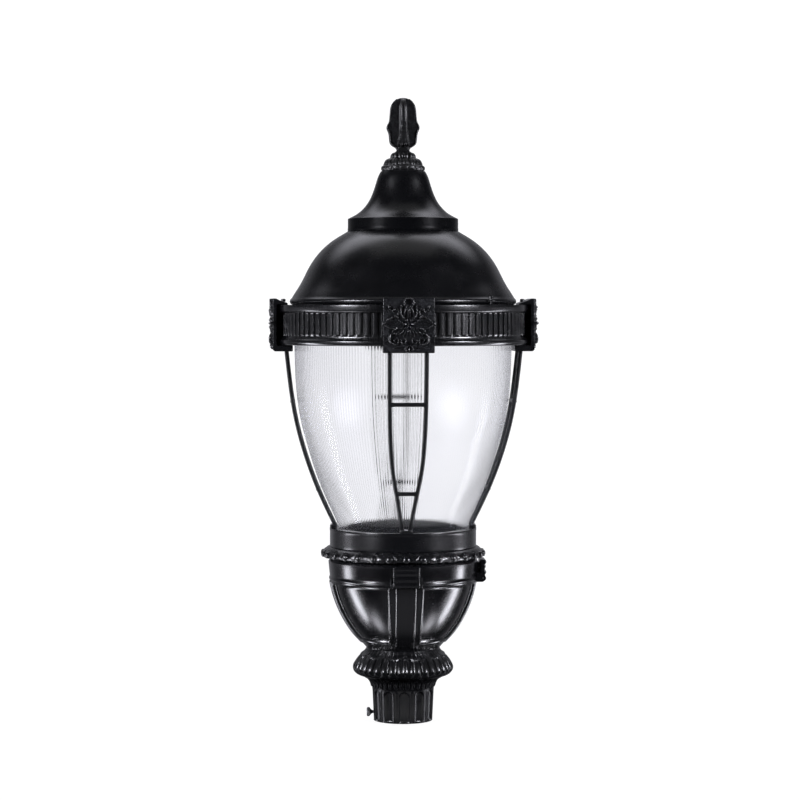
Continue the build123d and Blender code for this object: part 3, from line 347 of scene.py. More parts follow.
def with_poles(points, first, last, around, reverse_caps=False):
    """Grid of points that wraps along axis `around`, its ends closed by two pole points."""
    rows, columns = points.shape[:2]
    index = np.arange(rows * columns).reshape(rows, columns)
    ends = (index[:, 0], index[:, -1]) if around == 0 else (index[0], index[-1])
    start, end = (ring.tolist() for ring in ends)
    faces = grid_faces(rows, columns, around == 0, around == 1)
    pole = rows * columns
    for i in range(len(start)):
        j = (i + 1) % len(start)
        if reverse_caps:
            i, j = j, i
        faces += [(pole, start[i], start[j]), (pole + 1, end[j], end[i])]
    return np.vstack([points.reshape(-1, 3), first, last]), faces


# ---------------------------------------------------------------------------
# outlines
# ---------------------------------------------------------------------------


def fair(points, sigma, step):
    """Resampled, smoothed copy of a measured curve; the ends stay put.

    Spacing is measured in the first two columns.
    """
    points = np.array(points, float)
    steps = np.diff(points, axis=0)
    length = np.concatenate([[0], np.cumsum(np.hypot(steps[:, 0], steps[:, 1]))])
    along = np.linspace(0, length[-1], max(8, int(length[-1] / min(step, 1.0))))
    line = np.stack([np.interp(along, length, column) for column in points.T], 1)
    spacing = along[1] - along[0]
    reach = min(int(3 * sigma / spacing), len(line) - 2)
    weights = np.exp(-0.5 * (np.arange(-reach, reach + 1) * spacing / sigma) ** 2)
    weights /= weights.sum()
    padded = np.vstack([2 * line[0] - line[reach:0:-1], line,
                        2 * line[-1] - line[-2:-reach - 2:-1]])
    out = np.stack([np.convolve(column, weights, "valid") for column in padded.T], 1)
    out[0], out[-1] = line[0], line[-1]
    places = np.linspace(0, len(out) - 1, max(3, int(round(length[-1] / step))))
    return np.stack([np.interp(places, np.arange(len(out)), column) for column in out.T], 1)


def dense(points, step):
    """Straight-sided copy of a polyline with extra points; corners are kept."""
    points = np.array(points, float)
    out = []
    for start, end in zip(points[:-1], points[1:]):
        count = max(1, int(math.ceil(np.linalg.norm(end - start) / step)))
        out += [start + (end - start) * i / count for i in range(count)]
    out.append(points[-1])
    return np.array(out)


def rounded(points, radius, count=4, close=True):
    """Polyline with its corners rounded by one radius or by one radius per point."""
    points = [np.array(point, float) for point in points]
    total = len(points)
    radii = radius if isinstance(radius, list) else [radius] * total
    out = []
    for i, corner in enumerate(points):
        to_last, to_next = points[i - 1] - corner, points[(i + 1) % total] - corner
        last_length, next_length = np.linalg.norm(to_last), np.linalg.norm(to_next)
        cut = min(radii[i], 0.45 * last_length, 0.45 * next_length)
        if cut < 0.05 or (not close and i in (0, total - 1)):
            out.append(corner)
            continue
        start = corner + to_last / last_length * cut
        end = corner + to_next / next_length * cut
        for k in range(count + 1):
            t = k / count
            out.append((1 - t) ** 2 * start + 2 * t * (1 - t) * corner + t * t * end)
    return np.array(out)


def signed_area(loop):
    x, y = loop[:, 0], loop[:, 1]
    return 0.5 * np.sum(x * np.roll(y, -1) - np.roll(x, -1) * y)


def profile_normals(points, closed=True):
    """Unit normals on the right-hand side of a profile."""
    if closed:
        along = np.roll(points, -1, 0) - np.roll(points, 1, 0)
    else:
        along = np.gradient(points, axis=0)
    normal = np.stack([along[:, 1], -along[:, 0]], 1)
    length = np.linalg.norm(normal, axis=1)
    length[length < 1e-9] = 1
    return normal / length[:, None]


def inset(points, distance):
    """Open profile moved to its left (towards the axis on a rising outer profile)."""
    return points - profile_normals(points, closed=False) * distance


def smoothstep(x, low, high):
    t = np.clip((x - low) / (high - low), 0, 1)
    return t * t * (3 - 2 * t)


def window(x, start, end, soft):
    return smoothstep(x, start, start + soft) * (1 - smoothstep(x, end - soft, end))


def crest(x, half_width, power=2):
    """Rounded hump, 1 at x = 0 and 0 from half_width on."""
    return np.sqrt(np.clip(1 - (x / half_width) ** power, 0, 1))


def ridge(x, width):
    """Bell-shaped line, 1 at x = 0."""
    return np.exp(-(x / width) ** 2)


def saw(theta, count, phase=0.0):
    """-1..1 across each of count repeats, 0 at the centre of a repeat at theta = phase."""
    turns = (theta - phase) * count / TAU
    return 2.0 * (turns - np.floor(turns + 0.5))


def staggered(count):
    """Phase that puts a joint between two repeats at the front."""
    return FRONT + math.radians(180 / count)


# ---------------------------------------------------------------------------
# solids
# ---------------------------------------------------------------------------


def turn(radius, z, theta):
    """Points at a radius, height and azimuth."""
    return np.stack(np.broadcast_arrays(radius * np.cos(theta), radius * np.sin(theta), z), -1)


def place(angle, points):
    """(outward, sideways, up) to world at an azimuth in degrees."""
    cos, sin = math.cos(math.radians(angle)), math.sin(math.radians(angle))
    points = np.asarray(points, float)
    return (points[..., 0:1] * np.array([cos, sin, 0.0])
            + points[..., 1:2] * np.array([-sin, cos, 0.0])
            + points[..., 2:3] * np.array([0, 0, 1.0]))


def revolve(name, loop, count, body, material, slot, nodes, shape=None, sharp=38.0):
    """Closed (radius, height) loop turned about the axis.

    shape(theta, radius, z) gives how far each point moves along the outward normal.
    """
    loop = np.asarray(loop, float)
    if signed_area(loop) < 0:
        loop = loop[::-1]
    theta = (np.arange(count) * TAU / count)[:, None]
    normal = profile_normals(loop)
    radius = np.broadcast_to(loop[:, 0], (count, len(loop)))
    z = np.broadcast_to(loop[:, 1], (count, len(loop)))
    if shape is not None:
        move = shape(theta, radius, z)
        radius, z = radius + move * normal[:, 0], z + move * normal[:, 1]
    make_object(name, turn(radius, z, theta).reshape(-1, 3),
                grid_faces(count, len(loop), True, True), body, material, slot, nodes, sharp)


def side_of(axis):
    """A unit vector square to an axis."""
    reference = np.array([0, 0, 1.0]) if abs(axis[2]) < 0.9 else np.array([1.0, 0, 0])
    side = np.cross(axis, reference)
    return side / np.linalg.norm(side)


def circle(side, other, count):
    angles = (np.arange(count) * TAU / count)[:, None]
    return np.cos(angles) * side + np.sin(angles) * other


def tube(path, radius, count):
    """Closed tube along a 3-D path with parallel-transported rings of count points."""
    path = np.asarray(path, float)
    radii = np.broadcast_to(np.asarray(radius, float), (len(path),))
    along = np.gradient(path, axis=0)
    along /= np.linalg.norm(along, axis=1)[:, None]
    side = side_of(along[0])
    rings = []
    for centre, direction, r in zip(path, along, radii):
        side = side - direction * np.dot(side, direction)
        side /= np.linalg.norm(side)
        rings.append(centre + r * circle(side, np.cross(direction, side), count))
    return with_poles(np.array(rings), path[0], path[-1], around=1, reverse_caps=True)


def plate(outline, half, bevel=0.8, steps=3):
    """Closed outline given thickness 2 * half with softened rims: (x, y, offset)."""
    outline = np.asarray(outline, float)
    if signed_area(outline) < 0:
        outline = outline[::-1]
    normal = profile_normals(outline)
    rows = []
    for side in (-1, 1):
        for k in range(steps + 1)[::-side]:
            angle = math.pi / 2 * k / steps
            offset = side * (half - bevel * (1 - math.cos(angle)))
            edge = outline - normal * bevel * (1 - math.sin(angle))
            rows.append(np.column_stack([edge, np.full(len(outline), offset)]))
    count = len(outline)
    faces = grid_faces(len(rows), count, False, True)
    faces.append(tuple(range(count - 1, -1, -1)))
    faces.append(tuple((len(rows) - 1) * count + i for i in range(count)))
    return np.vstack(rows), faces


def upright(angle, mesh, lateral=0.0):
    """Plate stood on edge in the plane of an azimuth, its outline as (outward, up)."""
    verts, faces = mesh
    return place(angle, verts[:, [0, 2, 1]] + (0, lateral, 0)), faces


def level(angle, mesh, height):
    """Plate laid flat at a height, its outline as (outward, sideways)."""
    verts, faces = mesh
    return place(angle, verts + (0, 0, height)), faces


def dome_head(centre, axis, radius, height, count, socket=0.0):
    """Screw head turned along axis, with a soft crown and an optional round socket."""
    # distance from the axis, height
    profile = [(radius * 0.98, 0.0), (radius, height * 0.12), (radius, height * 0.62),
               (radius * 0.93, height * 0.84), (radius * 0.78, height * 0.97)]
    if socket:
        profile += [(socket * 1.15, height), (socket, height * 0.97),
                    (socket * 0.95, height * 0.45)]
        top = height * 0.40
    else:
        profile.append((radius * 0.4, height))
        top = height
    axis = np.asarray(axis, float)
    axis /= np.linalg.norm(axis)
    side = side_of(axis)
    ring = circle(side, np.cross(axis, side), count)
    points = np.array([centre + axis * z + r * ring for r, z in profile])
    return with_poles(points, centre, centre + axis * top, around=1, reverse_caps=True)


# ---------------------------------------------------------------------------
# fitter: fluted shaft, leaf neck and gadroon ring
# ---------------------------------------------------------------------------
# radius, height
FITTER_SHAFT = [(59.0, 0), (60.4, 30), (61.8, 60), (62.0, 66)]
FITTER_NECK = [(62.0, 66), (62.6, 70), (64.2, 76), (67.2, 82), (72.8, 87.4), (79.5, 90.2),
               (84.0, 91.2)]
FITTER_RING = [(84.0, 91.2), (90.5, 92.6), (96.0, 96.0), (99.4, 100.8), (100.2, 105.5),
               (99.6, 110.5), (97.6, 116), (94.0, 122), (89.2, 128), (83.6, 133), (78.4, 136.6),
               (75.2, 139.4), (73.4, 143), (72.6, 146)]
FITTER_BORE = [(72.6, 146), (44, 146), (44, 102), (22, 102), (22, 90), (38.5, 90), (38.5, 0)]
FLUTES = 12
RING_LEAVES = 36
NECK_LEAVES = 12


def fitter_shape(theta, radius, z):
    out = np.zeros_like(radius)
    outer = smoothstep(radius, 50, 56)
    # round-headed flutes with broad fillets and a fine bead at each arris
    across = np.abs(saw(theta, FLUTES, FRONT))
    scoop = crest(across, 0.66)
    head = 62.5 - 10.0 * (1 - scoop)
    run = (1 - smoothstep(z - head, -1.2, 1.2)) * smoothstep(z, 0.4, 2.0)
    out -= 4.8 * scoop * run * outer
    low = (1 - smoothstep(z, 61.0, 64.0)) * smoothstep(z, 0.4, 2.0)
    out += 0.3 * ridge(across - 0.74, 0.08) * low * outer
    out -= 0.4 * ridge(across - 1.0, 0.12) * low * outer
    # ring leaves: their tips hang over the flutes and their bodies make the ring
    across = np.abs(saw(theta, RING_LEAVES, staggered(RING_LEAVES)))
    tip = 67.5 + 6.0 * across ** 2.4
    tips = smoothstep(z, tip, tip + 1.6) * (1 - smoothstep(z, 88.5, 92.5))
    crown = crest(across, 1.02, 2.2)
    out += (2.4 * crown * tips - 1.2 * ridge(across - 1.0, 0.16) * tips) * outer
    out -= 0.7 * ridge(across, 0.13) * tips * outer
    body = window(z, 95.0, 136.5, 9.0)
    lobe = crest(across, 1.03, 2.3)
    fade = 1.0 - 0.30 * smoothstep(z, 110, 132)
    out -= 5.6 * body * (1 - lobe) * outer * fade
    # raised fillet lines on the shoulders of the leaves
    shoulder = smoothstep(z, 116, 122) * (1 - smoothstep(z, 130, 136))
    out += (0.6 * ridge(across - 0.60, 0.12) * shoulder * outer
            - 0.7 * ridge(across, 0.16) * shoulder * outer)
    # bead at the lower end of every leaf
    out += 0.9 * np.exp(-(across / 0.50) ** 2 - ((z - 108.0) / 7.5) ** 2) * outer
    # broad leaves curling over from the neck
    across = np.abs(saw(theta, NECK_LEAVES, staggered(NECK_LEAVES)))
    tip = 128.5 + 7.0 * across ** 1.8
    leaf = smoothstep(z, tip, tip + 3.2) * (1 - smoothstep(z, 143.0, 145.8))
    lift = 1.5 * crest(across, 1.04) + 0.3 * ridge(z - tip - 2.6, 2.4)
    veins = 0.25 * np.cos(across * math.pi * 5.0)
    out += (lift + veins) * leaf * outer
    return np.where((z > 0.05) & (z < 145.95), out, 0.0)


def build_fitter():
    loop = np.vstack([[(57.6, 0.0)], [(58.6, 0.15)], fair(FITTER_SHAFT, 5, 1.5),
                      fair(FITTER_NECK, 2.0, 0.9)[1:], fair(FITTER_RING, 1.6, 0.9)[1:],
                      dense(FITTER_BORE, 12)[1:]])
    revolve("fitter_casting", loop, 1080, "base", "softcast", "black_casting",
            ["fitter"], fitter_shape)


# ---------------------------------------------------------------------------
# gear housing: the grid follows the strap borders, so their edges are crisp
# ---------------------------------------------------------------------------
# radius, height of the bell
HOUSING_BELL = [(73.0, 146.1), (75.8, 150), (81.2, 156), (86.8, 162), (93.2, 168), (98.8, 174),
                (103.4, 180), (107.8, 186), (111.4, 192), (115.2, 198), (118.8, 204),
                (122.0, 210), (124.8, 216), (128.0, 222), (130.4, 228), (133.0, 234),
                (135.2, 240), (137.4, 246), (139.4, 252), (141.2, 258), (142.9, 264),
                (144.3, 270), (145.4, 276), (146.3, 283)]
HOUSING_RIM = [(147.3, 284.0), (148.1, 285.2), (148.4, 286.8), (148.1, 288.4), (147.3, 289.8),
               (146.9, 291.2), (147.0, 294), (147.6, 300), (148.2, 306), (148.8, 312),
               (149.3, 317.5), (149.4, 320.6), (149.2, 320.9), (145.8, 325.6), (145.0, 326.0)]
HOUSING_INNER_RIM = [(140.0, 326.0), (139.0, 325.2), (139.0, 300), (137.6, 292)]
HOUSING_FLOOR = [(66, 154), (22.6, 154), (22, 153.4), (22, 146.7), (22.6, 146.1), (60, 146.1)]
HOUSING_WALL = 11.0
# half of a strap and its border: distance from the strap's centre line, height of the surface
STRAP = [(0.0, 2.2), (4.5, 2.2), (9.0, 2.2), (13.5, 2.2), (17.6, 2.2), (18.6, 2.0), (19.4, 1.2),
         (20.4, 0.3), (21.4, 0.0), (24.0, 0.0), (27.0, 0.0), (29.4, 0.0), (30.4, 0.25),
         (31.3, 0.9), (32.4, 1.25), (33.4, 0.9), (34.2, 0.1), (35.0, -2.0), (35.8, -4.2),
         (36.8, -4.9), (38.5, -5.0)]
STRAP_EDGE, PANEL_HEIGHT = STRAP[-1]
PANEL_COLUMNS = 22
INNER_RADIUS = 140.0    # sets the spacing of the columns inside


def build_housing():
    bell = fair(HOUSING_BELL, 10, 1.6)
    inner = [point for point in inset(bell[::4], HOUSING_WALL) if 158 < point[1] < 280]
    loop = np.array([*bell, *HOUSING_RIM, *HOUSING_INNER_RIM, *inner[::-1], *HOUSING_FLOOR])
    radius, z = loop[:, 0], loop[:, 1]
    is_outer = np.arange(len(loop)) < len(bell) + len(HOUSING_RIM)
    normal = profile_normals(loop)
    panel = window(z, 163.5, 277.5, 3.0)
    panel_rim = ridge(z - 278.6, 1.1) + ridge(z - 162.2, 1.1)
    strap_run = window(z, 157.0, 283.0, 3.0)
    border_run = window(z, 160.0, 281.0, 2.0)
    narrowing = 0.88 + 0.12 * np.clip((z - 165) / 110, 0, 1)
    reach = np.maximum(radius, 40.0)
    edge = np.arcsin(np.clip(STRAP_EDGE * narrowing / reach, 0, 0.70))
    inner_edge = math.asin(STRAP_EDGE / INNER_RADIUS)

    # one quarter, centred on its strap, as (azimuth per point, lift per point)
    columns = []
    for across, height in [(-x, h) for x, h in reversed(STRAP[1:])] + STRAP:
        angle = np.arcsin(np.clip(across * narrowing / reach, -0.70, 0.70))
        if abs(across) <= 21.4:
            lift = height * strap_run
        else:
            lift = height * (border_run if height >= 0 else panel)
        if abs(across) > 34.5:
            lift = lift + 0.9 * panel_rim
        inner_angle = math.asin(across / INNER_RADIUS)
        columns.append((np.where(is_outer, angle, inner_angle), lift))
    for i in range(PANEL_COLUMNS):
        share = (i + 1) / (PANEL_COLUMNS + 1)
        angle = edge + (math.pi / 2 - 2 * edge) * share
        inner_angle = inner_edge + (math.pi / 2 - 2 * inner_edge) * share
        columns.append((np.where(is_outer, angle, inner_angle),
                        PANEL_HEIGHT * panel + 0.9 * panel_rim))

    rows = []
    for quarter in range(4):
        for angle, lift in columns:
            lift = np.where(is_outer, lift, 0.0)
            rows.append(turn(radius + normal[:, 0] * lift, z + normal[:, 1] * lift,
                             angle + quarter * math.pi / 2))
    make_object("gear_housing_casting", np.vstack(rows),
                grid_faces(len(rows), len(loop), True, True), "base", "cast", "black_casting",
                ["gear_housing"], sharp=34)


# ---------------------------------------------------------------------------
# latches, with the lugs and pads on the housing behind them
# ---------------------------------------------------------------------------
# outward, height
LUG = [(144.0, 279.5), (158.0, 279.5), (163.6, 283.0), (165.2, 287.0), (163.6, 291.5),
       (158.0, 294.5), (145.0, 300.0)]
PAD = [(145.0, 294.0), (150.6, 295.4), (152.2, 297.0), (152.2, 316.0), (151.2, 317.6),
       (148.4, 318.4), (145.0, 318.4)]
LATCH = [(152.7, 287.0), (153.4, 283.9), (155.6, 281.6), (159.0, 280.8), (162.4, 281.6),
         (164.6, 283.9), (165.3, 287.0), (163.6, 290.5), (163.4, 294.0), (165.2, 296.0),
         (165.6, 298.6), (165.0, 301.0), (163.2, 303.0), (163.0, 306.0), (164.4, 308.0),
         (164.8, 310.0), (164.4, 312.2), (163.2, 314.0), (165.4, 316.4), (165.9, 319.0),
         (165.4, 321.6), (163.5, 323.4), (155.0, 323.5), (152.7, 321.0)]
LUG_OFFSET = 29.0


def build_latches():
    shells = Shells()
    for _, angle in LATCH_SIDES:
        for side in (-1, 1):
            lug = plate(rounded(LUG, 1.6), half=2.0, bevel=0.6)
            shells.add(*upright(angle, lug, side * LUG_OFFSET))
    for _, angle in LATCH_SIDES:
        shells.add(*upright(angle, plate(rounded(PAD, 0.6, 2), half=20.0)))
    shells.build("latch_lugs", "base", "cast", "black_casting")
    for side, angle in LATCH_SIDES:
        shells = Shells()
        lever = plate(rounded(LATCH, 1.5), half=26.4, bevel=2.8, steps=6)
        shells.add(*upright(angle, lever))
        shells.build(f"latch_{side}_lever", f"latch_{side}_body", "cast", "black_gloss_casting",
                     [f"latch_{side}"])


# ---------------------------------------------------------------------------
# bead ring: balls under small arches on a flared skirt; a pocket at the left
# clears the concealed hinge
# ---------------------------------------------------------------------------
# radius, height
BEAD_RING_OUTER = [(146.5, 328.3), (152.0, 328.4), (156.6, 329.4), (159.4, 331.6),
                   (160.2, 334.6), (159.4, 338.6), (157.4, 342.6), (154.8, 346.0),
                   (151.8, 348.6), (149.4, 349.6), (148.0, 349.95)]
BEAD_RING_INNER = [(145.0, 349.95), (141.0, 349.95), (141.0, 344.02), (141.0, 344.0),
                   (141.0, 336.0), (141.0, 328.4), (141.4, 328.1), (145.0, 328.2)]
POCKET_RADIUS = 157.2
POCKET_INNER = [(145.0, 349.95), (141.0, 349.95), (141.0, 344.0), (157.2, 344.0),
                (157.2, 338.0), (157.2, 331.0), (157.25, 329.6), (157.3, 328.9)]
POCKET_HALF_WIDTH = 23.0
BEADS = 30
HALF_PITCH = 16.6    # along the skirt


def bead_ring_radius(radius, z, across):
    """Skirt radius at one azimuth; across runs -1..1 over the repeat of one ball."""
    lateral = abs(across) * HALF_PITCH
    oval = np.sqrt((lateral / 12.6) ** 2 + ((z - 337.2) / 9.6) ** 2)
    arch = 0.36 * ridge(oval - 1.0, 0.15) * smoothstep(z, 334.0, 340.0)
    dish = -0.5 * np.clip(1 - oval ** 4, 0, 1) * smoothstep(z, 333.0, 338.0)
    # leaf point between two arches
    dart = 0.7 * crest(HALF_PITCH - lateral, 3.2) * window(z, 331.0, 345.5, 6.0)
    swag = 0.2 * ridge(z - 331.8 - 0.9 * across ** 2, 1.3) * smoothstep(lateral, 7.0, 10.0)
    relief = arch + dish * (arch < 0.2) + np.maximum(dart, swag)
    radius = radius + relief * window(z, 328.3, 349.9, 1.2)
    from_ball = np.sqrt(lateral ** 2 + (z - 336.2) ** 2)
    ball = 160.6 + 4.6 - from_ball ** 2 / 17.0 - 4.0 * smoothstep(from_ball, 6.0, 6.9)
    return np.where(from_ball < 7.0, np.maximum(radius, ball), radius)


def build_bead_ring():
    outer = fair(BEAD_RING_OUTER, 1.0, 0.55)
    count = 1800
    half = math.asin(POCKET_HALF_WIDTH / POCKET_RADIUS)
    # pairs of close stations make the pocket's side walls upright
    theta = np.arange(count) * TAU / count
    walls = [math.pi + side * half + step for side in (-1, 1) for step in (-2e-4, 2e-4)]
    clear = np.abs(np.abs(theta - math.pi) - half) > 1.2e-3
    theta = np.sort(np.concatenate([theta[clear], walls]))
    rows = []
    for angle, across in zip(theta, saw(theta, BEADS, FRONT)):
        z = outer[:, 1]
        radius = bead_ring_radius(outer[:, 0], z, across)
        inner = BEAD_RING_INNER
        if abs(angle - math.pi) < half:
            # flat pocket wall; the land under the skin goes with the pocket
            flat = 1.0 / math.cos(angle - math.pi)
            inner = [(r * (flat if r > 150 else 1.0), height) for r, height in POCKET_INNER]
            limit = POCKET_RADIUS * flat + 0.12
            low = (radius < limit) & (z < 333)
            radius = np.where(low, limit, radius)
            z = np.where(low, np.maximum(z, 328.9), z)
        loop = np.vstack([np.column_stack([radius, z]), inner])
        rows.append(turn(loop[:, 0], loop[:, 1], angle))
    make_object("bead_ring_casting", np.vstack(rows),
                grid_faces(len(rows), len(rows[0]), True, True), "lantern", "ring",
                "black_casting", ["bead_ring"], sharp=50)


# ---------------------------------------------------------------------------
# globe collar and the gear cover, a stepped drum seen through the globe's foot
# ---------------------------------------------------------------------------
# radius, height, corner radius
COLLAR = [(96.0, 364.0, 0.5), (137.0, 364.0, 0.5), (137.0, 350.0, 0.5), (145.8, 350.0, 0.3),
          (146.5, 350.8, 0.3), (146.5, 368.0, 0.3), (146.5, 381.6, 0.3), (146.9, 382.2, 0.2),
          (146.9, 387.0, 0.9), (128.6, 387.0, 1.2), (128.6, 370.0, 0.5), (96.0, 370.0, 0.5)]
# radius, height
DRUM = [(0, 396.0), (60, 396.0), (92.0, 396.0), (96.5, 395.6), (99.0, 394.2), (100.2, 392.0),
        (101.2, 390.0), (103.2, 387.6), (104.4, 387.0), (105.4, 386.0), (106.4, 383.6),
        (107.8, 379.0), (108.5, 375.0), (108.9, 373.4), (116.8, 373.2), (117.6, 372.6),
        (117.6, 370.3), (105.6, 370.1), (105.0, 377.0), (102.6, 382.6), (98.0, 390.0),
        (92.0, 393.0), (0, 393.0)]


def turned_solid(profile, count, flute=0.0):
    """Profile from axis to axis, turned; flute is the relative depth of eight soft flutes."""
    profile = np.asarray(profile, float)
    theta = (np.arange(count) * TAU / count)[:, None]
    radius = profile[1:-1, 0] * (1 + flute * np.cos(8 * theta))
    return with_poles(turn(radius, profile[1:-1, 1], theta), (0, 0, profile[0][1]),
                      (0, 0, profile[-1][1]), around=0)


def build_collar_and_drum():
    loop = rounded([row[:2] for row in COLLAR], [row[2] for row in COLLAR], 3)
    loop = dense(np.vstack([loop, loop[:1]]), 6)[:-1]
    revolve("globe_collar_casting", loop, 256, "lantern", "cast", "black_casting",
            ["globe_collar"])
    make_object("gear_cover_drum", *turned_solid(DRUM, 256), "lantern", "plate", "black_plate",
                ["gear_cover"])


# ---------------------------------------------------------------------------
# globe: clear outside, fine vertical prisms inside
# ---------------------------------------------------------------------------
# radius, height
GLOBE = [(126.0, 378), (127.5, 386), (133.0, 400), (142.0, 420), (151.5, 440), (164.5, 470),
         (175.5, 500), (185.0, 530), (193.0, 558), (199.5, 580), (206.5, 610), (211.0, 640),
         (214.0, 670), (215.7, 700), (216.6, 736), (217.0, 760), (217.0, 790), (217.0, 815)]
GLOBE_LIP = [(216.5, 814.6), (215.9, 815.0), (214.2, 815.0), (213.2, 814.4)]
GLOBE_FOOT = [(122.6, 378.6), (123.0, 378.0)]
GLOBE_WALL = 4.0
PRISMS = 216
PRISM_DEPTH = 0.115


def build_globe():
    outer = fair(GLOBE, 12, 5.0)
    inner = inset(outer, GLOBE_WALL)[1:-1]
    loop = np.vstack([outer[:-1], GLOBE_LIP, inner[::-1], GLOBE_FOOT])

    def prisms(theta, radius, z):
        # soft ribs on the inner face only, which follows the outer face in the loop
        depth = np.zeros_like(radius)
        depth[:, len(outer) + 4:-3] = PRISM_DEPTH
        return depth * np.cos(theta * PRISMS) * window(z, 384, 812, 8)

    revolve("prismatic_globe", loop, PRISMS * (8), "lantern", "glass",
            "clear_glass", ["globe"], prisms, sharp=60)


# ---------------------------------------------------------------------------
# ladder ribs: two rods joined by two bars, on a foot tab with two screws
# ---------------------------------------------------------------------------
# outward, half the distance between the rods, height
RIB = [(232.5, 35.5, 748), (232.5, 35.5, 740), (232.4, 35.5, 732), (231.8, 35.5, 720),
       (230.0, 35.5, 702), (227.8, 35.5, 678), (225.4, 35.5, 660), (222.6, 35.4, 643),
       (216.4, 34.8, 612), (207.4, 33.6, 576), (197.2, 31.6, 540), (184.8, 27.8, 504),
       (171.2, 20.5, 468), (159.0, 15.6, 441), (146.4, 11.4, 414), (137.6, 8.6, 396),
       (135.2, 8.0, 391)]
BAR_HEIGHTS = (643.0, 468.0)
ROD_RADIUS = 4.2
# outward, sideways
RIB_TAB = [(132.4, -13.0), (146.2, -13.0), (146.2, 13.0), (132.4, 13.0)]


def build_ribs():
    path = fair(RIB, 8, 4.0)
    for side_name, angle in SIDES:
        shells = Shells()
        for side in (-1, 1):
            shells.add(*tube(place(angle, path * (1, side, 1)), ROD_RADIUS, 20))
        for height in BAR_HEIGHTS:
            out, half, z = path[np.argmin(np.abs(path[:, 2] - height))]
            lateral = np.linspace(-half, half, 25)
            # bars swell where they meet the rods
            radius = 4.0 + 0.9 * np.clip((np.abs(lateral) - (half - 7.5)) / 3.5, 0, 1) ** 2
            bar = np.column_stack([np.full(25, out), lateral, np.full(25, z)])
            shells.add(*tube(place(angle, bar), radius, 18))
        tab = plate(rounded(RIB_TAB, 4.5, 6), half=2.45, bevel=1.0, steps=4)
        shells.add(*level(angle, tab, 389.55))
        for side in (-1, 1):
            shells.add(*dome_head(place(angle, (136.2, side * 8.0, 390.6)),
                                  place(angle, (0.42, side * 0.1, 0.9)),
                                  radius=5.4, height=5.5, count=20))
        shells.build("ladder_rib_" + side_name, "lantern", "rod", "black_rod",
                     ["rib_" + side_name])


# ---------------------------------------------------------------------------
# roof band with its fluted frieze
# ---------------------------------------------------------------------------
# radius, height
BAND_FOOT = [(221.4, 753.0), (234.0, 753.0)]
BAND_LOWER = [(246.6, 753.0), (249.2, 754.6), (250.0, 757.6), (250.0, 762.0), (248.4, 764.4),
              (246.0, 765.4), (245.6, 767.6), (244.0, 768.6)]
BAND_FRIEZE = [(243.9, 769.2), (243.9, 815.2)]
BAND_UPPER = [(244.4, 816.0), (246.4, 816.3), (248.6, 818.0), (249.7, 819.6), (249.9, 822.8),
              (250.0, 826.4), (250.0, 831.2), (249.4, 832.0)]
BAND_INNER = [(236.0, 832.0), (220.0, 832.0), (217.0, 832.0), (217.0, 829.0), (212.0, 829.0),
              (212.0, 832.0), (208.6, 832.0), (208.0, 831.4), (208.0, 824.6), (208.6, 824.0),
              (235.5, 824.0), (235.5, 759.0), (221.6, 759.0), (221.0, 758.4), (221.0, 753.6)]
BARS = 96


def band_shape(theta, radius, z):
    """Grooves between crowned bars, the lower groove ends round."""
    across = np.abs(saw(theta, BARS))
    lean = 1.2 * (1 - across)
    run = smoothstep(z, 770.6 + lean, 773.0 + lean)
    groove = smoothstep(across, 0.56, 0.76)
    crown = 0.7 * crest(across, 0.72)
    frieze = (radius > 243.5) & (radius < 244.3)
    return np.where(frieze, -2.9 * groove * run + crown * run - 0.7, 0.0)


def build_band():
    loop = np.vstack([BAND_FOOT, rounded(BAND_LOWER, 0.8, 2, close=False),
                      dense(BAND_FRIEZE, 0.9), rounded(BAND_UPPER, 0.4, 2, close=False),
                      BAND_INNER])
    revolve("roof_band_casting", loop, BARS * (16), "lantern", "cast",
            "black_casting", ["roof_band"], band_shape, sharp=42)


# ---------------------------------------------------------------------------
# rosette brackets: C-shaped clasp with an acanthus relief
# ---------------------------------------------------------------------------


def arc(x, y, start_radius, end_radius, start_angle, end_angle, count):
    angle = np.radians(np.linspace(start_angle, end_angle, count))
    radius = np.linspace(start_radius, end_radius, count)
    return np.column_stack([x + radius * np.cos(angle), y + radius * np.sin(angle)])


def bezier(start, bend, end):
    t = np.linspace(0, 1, 14)[:, None]
    start, bend, end = map(np.array, (start, bend, end))
    return (1 - t) ** 2 * start + 2 * t * (1 - t) * bend + t * t * end


def swell(count, start, middle, end):
    """Values that run from start through middle to end."""
    t = np.linspace(0, 1, count)
    return np.where(t < 0.5, start + (middle - start) * t * 2,
                    middle + (end - middle) * (t - 0.5) * 2)


